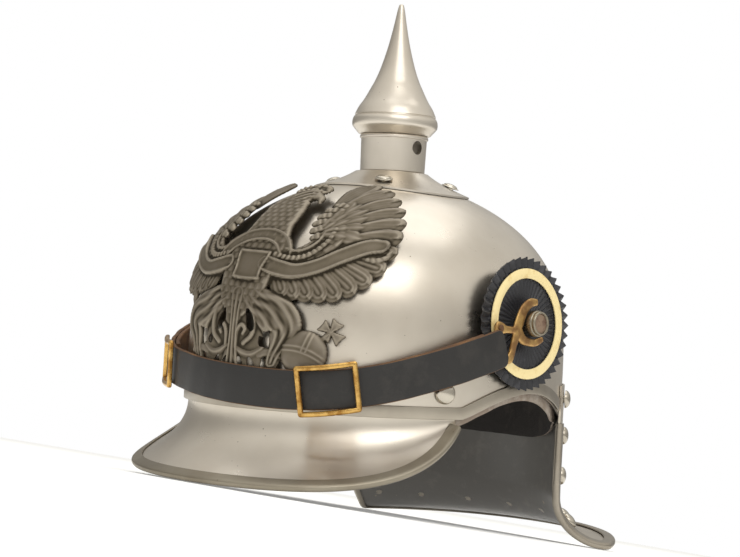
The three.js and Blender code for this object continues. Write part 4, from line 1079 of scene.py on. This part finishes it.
for tip, root in (
    ((29.6, 78.6), (34, 80)), ((27, 83), (33, 85)), ((25.4, 88), (32.6, 89.4)),
    ((25, 93), (32, 93.8)), ((25.6, 98), (32, 98)), ((27.2, 103), (32, 101.6)),
):
    wing.append(("curl", [(*root, 2.4, 3.2), (*between(root, tip, 0.6), 3, 3.7), (*tip, 2, 3.3)]))
wing += [
    ("beads", [(15.6, 67.4, 1.7, 3.9), (23.6, 65.8, 1.8, 4), (30.8, 67.2, 1.8, 4), (35.8, 71.8, 1.8, 3.8), (38.2, 78, 1.6, 3.7), (37.8, 84, 1.4, 3.7)]),
    ("plain", [(19, 71, 0.8, 3.6), (25, 69.8, 0.9, 3.9), (30, 71.4, 0.9, 3.9), (33.6, 76, 0.9, 3.9), (34, 82, 0.8, 3.7)]),
    ("ribbon", [(12, 62.4, 4.6, 3.8), (20, 60.2, 4.8, 4.2), (29, 59.2, 4.5, 4.1), (39, 62.4, 4.6, 4), (48, 68.2, 5, 4), (57.5, 73.8, 5.2, 3.8), (64, 75, 4.4, 3.4)]),
    ("curl", [(60.4, 67.6, 1.4, 2.7), (65, 67.2, 1.9, 2.9), (69, 69.4, 1.7, 2.8), (69.4, 73, 1.2, 2.7)]),
    ("waves", [(8, 47, 6, 2.7), (16, 42, 8, 3.2), (25.4, 35.6, 10.4, 3.6), (29.4, 30.4, 9, 3.3), (27.4, 23, 5.4, 2.6), (24, 13.4, 3.4, 1.8)]),
    ("leaf", [(2, 47, 2.4, 2.6), (8.4, 44.4, 1.7, 2.9), (12.8, 36, 1.6, 3), (12.6, 27.4, 1.6, 2.9), (8, 22.6, 1.6, 2.7)]),
    ("leaf", [(3.2, 21, 1.6, 2.6), (3.6, 27.6, 1.5, 2.9), (5.8, 31.4, 1.4, 3.1), (8.2, 29.6, 1.2, 3), (7.2, 27.2, 1, 2.7)]),
    ("leaf", [(2, 20.6, 2, 2.5), (7.4, 17.6, 2.2, 2.4), (13, 17, 2.4, 2.1), (18.6, 20, 1.7, 1.9)]),
    ("leaf", [(1.4, 18, 2.2, 2.4), (4.6, 11.4, 2, 2.1), (9.8, 7.6, 2, 1.8), (15.6, 8.6, 1.6, 1.6)]),
    ("claw", [(17, 17, 1.7, 1.8), (22, 18.6, 2.3, 2), (30, 17, 2.3, 2.1)]),
]
middle = [
    ("scales", [(0, 36, 6, 2.6), (1, 44, 12.6, 3), (2, 56, 15.6, 3.3), (3, 68, 16, 3.6), (3.2, 75, 15.5, 3.7), (2.8, 83, 13, 3.8), (2.4, 92, 12.3, 3.8), (1.8, 100, 11.4, 3.8), (2.8, 106.6, 9.4, 3.8), (4.4, 110, 7.4, 3.6)]),
    ("waves", [(0, 105, 3, 3.6), (3, 109, 6.4, 4), (7, 111, 6, 4.3), (11, 110.4, 3.4, 4)]),
    ("plain", [(10.4, 110.8, 3, 4.2), (14.6, 108.8, 1.9, 3.8), (16.2, 105.2, 0.9, 3)]),
    ("plain", [(7.4, 112, 0.3, 4.4), (8.4, 112.4, 1, 5)]),
    ("beads", [(-3, 114.4, 1.7, 3.8), (4, 116.4, 1.9, 4.2), (10.6, 115.4, 1.6, 3.8)]),
    ("beads", [(-3.4, 115.4, 1.3, 3), (-4.2, 119, 1.7, 3.2), (-1, 122.4, 1.7, 3.3), (3.4, 123.4, 1.6, 3.3)]),
    ("beads", [(3.8, 123.4, 1.6, 3.3), (8.4, 122.4, 1.7, 3.3), (11.4, 119.2, 1.7, 3.2), (11, 115.6, 1.3, 3)]),
    ("plain", [(-2.4, 117, 2.8, 2.3), (1.6, 119.8, 3.4, 2.5), (7.2, 119.8, 3.4, 2.5), (9.8, 117.2, 2.6, 2.3)]),
    ("beads", [(4, 116.4, 1.4, 3.4), (3.8, 120, 1.4, 3.5), (3.6, 123.6, 1.3, 3.2)]),
    ("plain", [(3.6, 124.6, 1.8, 3.2), (3.6, 127, 1, 2.6)]),
    ("ribbon", [(-19, 64.4, 3.4, 2.6), (-17.4, 67.4, 4, 3.6), (-13, 72.4, 4.3, 4.1), (-4, 77.2, 4.4, 4.3), (6, 78.4, 4.4, 4.3), (14.4, 75.4, 4.3, 4.1), (19.4, 70, 4, 3.6), (20.8, 67, 3.4, 2.6)]),
    ("shield", [(3.2, 55.4, 9, 4.2), (3.8, 68.4, 9.8, 4.4)]),
    ("flutes", [(1, 47, 4.6, 3), (1.4, 36, 3.2, 3.3), (1.6, 24, 3.2, 3.1), (1.4, 14, 4.4, 2.4), (1, 8, 6, 1.8)]),
    ("orb", [(40.2, 19.2, 11.6, 4.4)]),
    ("plain", [(47, 25, 1.6, 2.2), (52, 30.4, 1.3, 2)]),
    ("pattee", [(52.4, 30.8, 1, 2), (55, 35.2, 3.3, 2)]),
    ("pattee", [(52.8, 30.2, 1, 2), (57, 26.6, 3.3, 2)]),
    ("pattee", [(51.8, 30.8, 1, 2), (47.8, 33.6, 3.2, 2)]),
    ("pattee", [(52, 29.6, 1, 2), (50, 26.6, 2.2, 2)]),
    ("twist", [(-25, 12, 1.5, 1.8), (-30, 24, 1.6, 2), (-34.5, 36, 1.6, 2), (-36.5, 41, 1.7, 2.1)]),
    ("leaf", [(-35.4, 39, 1.6, 2.2), (-37.6, 43.4, 3.1, 2.4), (-39.4, 48, 2.2, 2.1), (-41, 52, 1, 1.7)]),
]
strokes = wing + [(kind, [(-x, m, half, level) for x, m, half, level in path]) for kind, path in wing] + middle
print("strokes of the eagle:", len(strokes))


# %% Surface of each kind of stroke
def chased(kind, a, q, inside, half, flip):
    # a runs across from -1 to 1, q is the way along and inside the way in from the edge, both in mm
    if kind == "long feather":
        shaft = np.exp(-(((a * flip - 0.62) / 0.07) ** 2)) * 0.3
        return 0.7 * a * flip + shaft + 0.04 * np.cos(a * 18 + q * 0.6)
    if kind == "short feather":
        return 0.5 * a * flip + 0.24 * np.cos(a * 14) * smoothstep(q, 2, 9)
    if kind == "leaf":
        return 0.25 * np.exp(-((a / 0.2) ** 2)) - 0.2 * np.exp(-(((np.abs(a) - 0.5) / 0.2) ** 2)) + 0.35 * a * flip
    if kind == "curl":
        return 0.3 * np.cos(q * 2.2 + a * 2)
    if kind == "scales":
        pitch, row_pitch = 4.2, 3.4
        row_number = np.floor(q / row_pitch)
        x = (a * half / pitch + 0.5 * (row_number % 2)) % 1 - 0.5
        y = q / row_pitch - row_number
        tip = np.clip(1 - (2 * x) ** 2, 0, 1)
        return 0.5 * tip * smoothstep(y, 0, 0.25) * (1 - 0.7 * y) + 0.14 * np.exp(-((x / 0.08) ** 2)) - 0.2
    if kind in ("ribbon", "ribbon end", "shield"):
        border = 0.85 * np.exp(-(((inside - 1.15) / 0.5) ** 2))
        return border - 0.45 * smoothstep(inside, 1.5, 2.4) + (0.3 * (1 - a * a) if kind == "shield" else 0)
    if kind == "waves":
        return 0.42 * np.cos(a * 11 + 1.3 * np.sin(q * 0.33)) + 0.12 * np.cos(a * 23 + q * 0.3)
    if kind == "flutes":
        return 0.45 * np.cos(a * 9.4)
    if kind == "beads":
        return 0.55 * np.cos(q * 2 * math.pi / 2.5) * (np.abs(a) < 0.8) - 0.1
    if kind == "twist":
        return 0.4 * np.cos(q * 2.1 + a * 2.4)
    if kind == "pattee":
        return 0.45 * np.exp(-(((inside - 0.7) / 0.35) ** 2))
    return 0 * a


CELL = 0.5
columns, rows_up = int(152 / CELL), int(136 / CELL)
X, M = np.meshgrid(np.linspace(-76, 76, columns + 1), np.linspace(2, 138, rows_up + 1), indexing="ij")
level_field, edge_field = np.full(X.shape, 0.9), np.full(X.shape, -9.0)
for kind, path in strokes:
    line = np.array(eased(path, 8)) if len(path) > 1 else np.array(path, float)
    flip = 1 if line[-1][0] >= line[0][0] else -1
    widest = line[:, 2].max() + 1
    low, high = line[:, :2].min(0) - widest, line[:, :2].max(0) + widest
    near = np.nonzero((X > low[0]) & (X < high[0]) & (M > low[1]) & (M < high[1]))
    p = np.stack([X[near], M[near]], 1)
    best, a, q, half, level = np.full(len(p), 1e9), *(np.zeros(len(p)) for _ in range(4))
    if len(line) == 1:
        best = np.hypot(*(p - line[0, :2]).T)
        half[:], level[:] = line[0, 2], line[0, 3]
        a = best / half
    length = 0.0
    for start, end in zip(line, line[1:]):
        step = end[:2] - start[:2]
        size = math.hypot(*step)
        if size < 1e-6:
            continue
        t = np.clip(((p - start[:2]) @ step) / size**2, 0, 1)
        away = p - (start[:2] + t[:, None] * step)
        distance = np.hypot(*away.T)
        closer = distance < best
        best[closer] = distance[closer]
        half[closer] = (start[2] + t * (end[2] - start[2]))[closer]
        level[closer] = (start[3] + t * (end[3] - start[3]))[closer]
        q[closer] = (length + t * size)[closer]
        side = np.sign(step[0] * away[:, 1] - step[1] * away[:, 0])
        a[closer] = (side * distance)[closer]
        length += size
    if len(line) > 1:
        a = np.clip(a / half, -1, 1)
    inside = half - best
    if kind == "shield":
        # a shield's top is straight and its foot drawn in a little
        direction = (line[-1, :2] - line[0, :2]) / np.linalg.norm(line[-1, :2] - line[0, :2])
        up = (p - line[0, :2]) @ direction
        out = np.abs((p - line[0, :2]) @ np.array([direction[1], -direction[0]]))
        tall = np.linalg.norm(line[-1, :2] - line[0, :2])
        inside = np.minimum(half - out - 0.5 * np.sin(up * 0.4), np.minimum(tall + 1.2 - up, up + 2.6 - 0.012 * out**2))
        a = np.clip(out / half, 0, 1)
    if kind == "pattee":
        # flared arms end square, with a shallow hollow
        direction = (line[-1, :2] - line[0, :2]) / np.linalg.norm(line[-1, :2] - line[0, :2])
        inside = np.minimum(inside, (line[-1, :2] - p) @ direction + 0.4 + 0.06 * (a * half) ** 2)
    shoulder = 1 - (1 - np.clip(inside / np.minimum(1.7, half * 0.6), 0, 1)) ** 2
    if kind == "orb":
        shape = level * np.sqrt(np.clip(1 - a * a, 0, 1)) + 1
        across = (p - line[0, :2]) @ np.array([0.3, 0.954])
        along = (p - line[0, :2]) @ np.array([0.954, -0.3])
        belt = np.exp(-(((np.abs(across - 1.5 + 0.02 * along**2) - 1.2) / 0.5) ** 2))
        belt = np.maximum(belt, np.exp(-(((np.abs(along) - 1.1) / 0.5) ** 2)) * (across > 1))
        height = shape + 0.5 * belt
    else:
        height = 0.9 + (level - 0.9) * shoulder + chased(kind, a, q, inside, half, flip) * np.clip(inside / 0.8, 0, 1)
    height = np.where(inside > 0, height, 0)
    level_field[near] = np.maximum(level_field[near], height)
    edge_field[near] = np.maximum(edge_field[near], inside)

# teardrop openings beside the tail
for sign in (-1, 1):
    for x, m, long, wide in ((9, 34, 7, 2), (10.8, 12.8, 3.4, 1.5), (16.4, 24, 3, 1.4), (4.6, 13.4, 2.6, 0.9)):
        u, v = (X - 1.6 - sign * x), (M - m)
        turned_u, turned_v = u * 0.9 + sign * v * 0.35, v * 0.9 - sign * u * 0.35
        hole = 1.2 * (np.hypot(turned_u / (wide * (1.25 - turned_v / long * 0.6)), turned_v / long) - 1)
        edge_field = np.minimum(edge_field, hole)

# %% Finish of the plate
softened = level_field.copy()
for _ in range(14):
    # the mean of the neighbours, taken over and over, is the plate without its fine relief
    around = np.pad(softened, 1, mode="edge")
    softened = (around[:-2, 1:-1] + around[2:, 1:-1] + around[1:-1, :-2] + around[1:-1, 2:]) / 4
# how far each place stands above or below the softened plate: painted shade for the hollows, painted highlight for the
# raised tops
painted_relief_shade = np.clip(0.5 + (level_field - softened) * 0.9, 0, 1)


def plate_material():
    # toned German silver: grey-brown and varied at random, with painted shade nearly black in the hollows and a painted
    # highlight pale on the raised tops
    material, tree = new_material("toned stamped plate with painted shade")
    shader = tree.nodes["Principled BSDF"]
    shader.inputs["Metallic"].default_value = 1.0
    height = add_node(tree, "ShaderNodeAttribute", {"attribute_name": "relief"}).outputs["Fac"]
    place = add_node(tree, "ShaderNodeTexCoord").outputs["Object"]
    cloud = add_node(tree, "ShaderNodeTexNoise", {"Scale": 90, "Detail": 5, "Roughness": 0.6}, Vector=place)
    # random toning from the cloud, plus the painted shade and highlight that the relief attribute carries
    worn = add_node(tree, "ShaderNodeMath", {"operation": "MULTIPLY_ADD"}, i0=cloud.outputs["Fac"], i2=height)
    worn.inputs[1].default_value = 0.35
    stops = [(0.32, "#3f392f"), (0.62, "#736a5b"), (0.8, "#80776a"), (1.0, "#968d7e")]
    tone = add_node(tree, "ShaderNodeValToRGB", {"stops": stops}, Fac=worn.outputs[0])
    tree.links.new(tone.outputs["Color"], shader.inputs["Base Color"])
    rough = add_node(tree, "ShaderNodeMapRange", {"From Min": 0.4, "From Max": 0.95}, Value=worn.outputs[0])
    rough.inputs["To Min"].default_value = 0.72
    rough.inputs["To Max"].default_value = 0.54
    tree.links.new(rough.outputs[0], shader.inputs["Roughness"])
    grain = add_node(tree, "ShaderNodeTexNoise", {"Scale": 1500, "Detail": 3}, Vector=place)
    bump = add_node(tree, "ShaderNodeBump", {"Strength": 0.15, "Distance": 0.0002}, Height=grain.outputs["Fac"])
    tree.links.new(bump.outputs[0], shader.inputs["Normal"])
    return material


toned_plate_with_painted_shade = plate_material()

# %% Eagle's sheet
corners = edge_field > -0.28
kept = corners[:-1, :-1] & corners[1:, :-1] & corners[:-1, 1:] & corners[1:, 1:]
touched = np.zeros(X.shape, int)
for i, j in ((0, 0), (0, 1), (1, 0), (1, 1)):
    touched[i : i + kept.shape[0], j : j + kept.shape[1]] += kept
rim = (touched > 0) & (touched < 4)
slope_x, slope_m = np.gradient(edge_field, CELL)
steep = np.maximum(slope_x**2 + slope_m**2, 0.3)
move = np.where(rim, np.clip(-edge_field, -0.5, 0.4), 0) / steep
plan_x, plan_m = X + slope_x * move, M + slope_m * move

meridian_shares = np.concatenate([[0], np.arange(1, 401) / 400])
meridian_level = CROWN * np.sin(meridian_shares * 0.98 * math.pi / 2)
meridian_points = skull_point(0.0, meridian_level)
meridian_run = np.concatenate([[0], np.cumsum(np.linalg.norm(np.diff(meridian_points, axis=0), axis=1))])


def on_front(x, m, lift):
    level = np.where(m > 0, np.interp(m, meridian_run, meridian_level), m)
    share = (1 - (np.clip(level, 0, None) / CROWN) ** FULLNESS) ** (1 / TAPER)
    angle = np.zeros(np.shape(x))
    for _ in range(4):
        angle = angle + x / share / 4 / np.hypot(HALF_WIDTH * np.cos(angle), FRONT * np.sin(angle))
    return skull_point(angle, level, lift)


# the relief is shallow beside its width, as in any stamped sheet
placed = on_front(EAGLE_SHIFT + plan_x, plan_m, EAGLE_LIFT + 0.25 + RELIEF_SHARE * level_field)


def eagle_formula(u, v):
    return placed[np.rint(u * columns).astype(int), np.rint(v * rows_up).astype(int)]


eagle = bent_grid("stamped_eagle", eagle_formula, columns, rows_up, merge=0.0)
# the painted shade and highlight go on to the sheet as its relief attribute
relief = eagle.data.attributes.new("relief", "FLOAT", "POINT")
relief.data.foreach_set("value", painted_relief_shade.T.ravel())
order_u = np.repeat(np.arange(rows_up + 1), columns + 1)
order_v = np.tile(np.arange(columns + 1), rows_up + 1)
for face in eagle.data.polygons:
    first = min(face.vertices)
    face.select = not kept[order_v[first], order_u[first]]
for item in (eagle.data.vertices, eagle.data.edges):
    item.foreach_set("select", [False] * len(item))
drop = np.zeros(len(eagle.data.polygons), bool)
eagle.data.polygons.foreach_get("select", drop)
bpy.ops.object.mode_set(mode="EDIT")
bpy.ops.mesh.select_mode(type="FACE")
bpy.ops.mesh.select_all(action="DESELECT")
bpy.ops.object.mode_set(mode="OBJECT")
eagle.data.polygons.foreach_set("select", drop)
bpy.ops.object.mode_set(mode="EDIT")
bpy.ops.mesh.delete(type="FACE")
bpy.ops.object.mode_set(mode="OBJECT")
outward_sheet(eagle, lambda c: (c.x, c.y, 0.05))
sheet = eagle.modifiers.new("sheet", "SOLIDIFY")
sheet.thickness, sheet.offset, sheet.use_even_offset = 0.9 * MM, -1, False
apply_modifiers(eagle)
studs = []
for sign in (-1, 1):
    foot = on_front(np.array(EAGLE_SHIFT + sign * 24), np.array(66.0), np.array(0.0))
    tip = on_front(np.array(EAGLE_SHIFT + sign * 24), np.array(66.0), np.array(1.0))
    studs.append(turned("eagle_stud", [(0, -WALL), (2, -WALL), (2, 4.4), (0, 4.4)], foot, tip - foot, 20))
eagle = joined([eagle, *studs])
finished(eagle, toned_plate_with_painted_shade, "eagle_plate", 60)

# %% [markdown]
# ## Camera, floor and light
#
# The camera stands at the photograph's angle. The floor is a pale sheet and the backdrop an even white, and a
# few large soft lights stand round the helmet, as in a light tent.

# %% Camera
camera_data = bpy.data.cameras.new("camera")
camera_data.sensor_width = 36
camera_data.lens = 1776.3 / 740 * 36
camera = bpy.data.objects.new("camera", camera_data)
bpy.context.collection.objects.link(camera)
camera.matrix_world = Matrix(
    (
        (0.716516, -0.034788, 0.696703, 0.69156),
        (0.677908, -0.200736, -0.70721, -0.7412),
        (0.164456, 0.979027, -0.120247, 0.00799),
        (0, 0, 0, 1),
    )
)
bpy.context.scene.camera = camera

# %% Floor and light
bpy.ops.mesh.primitive_plane_add(size=8, location=(0, 0, 0))
floor = bpy.context.object
floor.name = "floor"
floor_paint, tree = new_material("matt white floor")
shader = tree.nodes["Principled BSDF"]
shader.inputs["Roughness"].default_value = 0.9
shader.inputs["Specular IOR Level"].default_value = 0.0
shader.inputs["Emission Color"].default_value = (1, 1, 1, 1)
shader.inputs["Emission Strength"].default_value = 0.2
grain = add_node(tree, "ShaderNodeTexNoise", {"Scale": 900, "Detail": 3})
tone = add_node(tree, "ShaderNodeValToRGB", {"stops": [(0.3, "#f6f6f4"), (0.7, "#fcfcfb")]}, Fac=grain.outputs["Fac"])
tree.links.new(tone.outputs["Color"], shader.inputs["Base Color"])
floor.data.materials.append(floor_paint)

world = bpy.data.worlds.new("light tent")
bpy.context.scene.world = world
world.use_nodes = True
tree = world.node_tree
tent = tree.nodes["Background"]
direction = add_node(tree, "ShaderNodeTexCoord").outputs["Generated"]
height = add_node(tree, "ShaderNodeSeparateXYZ", Vector=direction).outputs["Z"]
stops = [(0.0, 0.5), (0.3, 0.55), (0.55, 0.95), (0.8, 0.9), (1.0, 0.7)]
rise = add_node(tree, "ShaderNodeValToRGB", {"stops": stops}, Fac=height)
facing = add_node(tree, "ShaderNodeVectorMath", {"operation": "DOT_PRODUCT"}, i0=direction)
facing.inputs[1].default_value = (0.82, -0.57, 0)
share = add_node(tree, "ShaderNodeMapRange", {"From Min": -1.0, "To Min": 0.6, "To Max": 1.25}, Value=facing.outputs["Value"])
glow = add_node(tree, "ShaderNodeMath", {"operation": "MULTIPLY"}, i0=rise.outputs["Color"], i1=share.outputs[0])
tree.links.new(glow.outputs[0], tent.inputs["Strength"])
tent.inputs["Color"].default_value = linear("#fffdf8")
backdrop = add_node(tree, "ShaderNodeBackground", {"Color": (1, 1, 1, 1), "Strength": 1.0})
seen = add_node(tree, "ShaderNodeLightPath").outputs["Is Camera Ray"]
both = add_node(tree, "ShaderNodeMixShader", i0=seen, i1=tent.outputs[0], i2=backdrop.outputs[0])
tree.links.new(both.outputs[0], tree.nodes["World Output"].inputs["Surface"])


def soft_light(name, place, target, size, power, colour="#ffffff"):
    data = bpy.data.lights.new(name, "AREA")
    data.shape = "RECTANGLE"
    data.size, data.size_y = size
    data.energy = power
    data.color = linear(colour)[:3]
    lamp = bpy.data.objects.new(name, data)
    bpy.context.collection.objects.link(lamp)
    lamp.location = place
    lamp.rotation_euler = (Vector(target) - Vector(place)).to_track_quat("-Z", "Y").to_euler()
    return lamp


MIDDLE = (0, 0, 0.15)
soft_light("tent front", (1.15, -0.9, 1.25), MIDDLE, (1.3, 1.0), 7)
soft_light("tent top", (-0.2, 0.1, 1.7), MIDDLE, (1.6, 1.6), 9)
bpy.context.scene.view_settings.view_transform = "Standard"
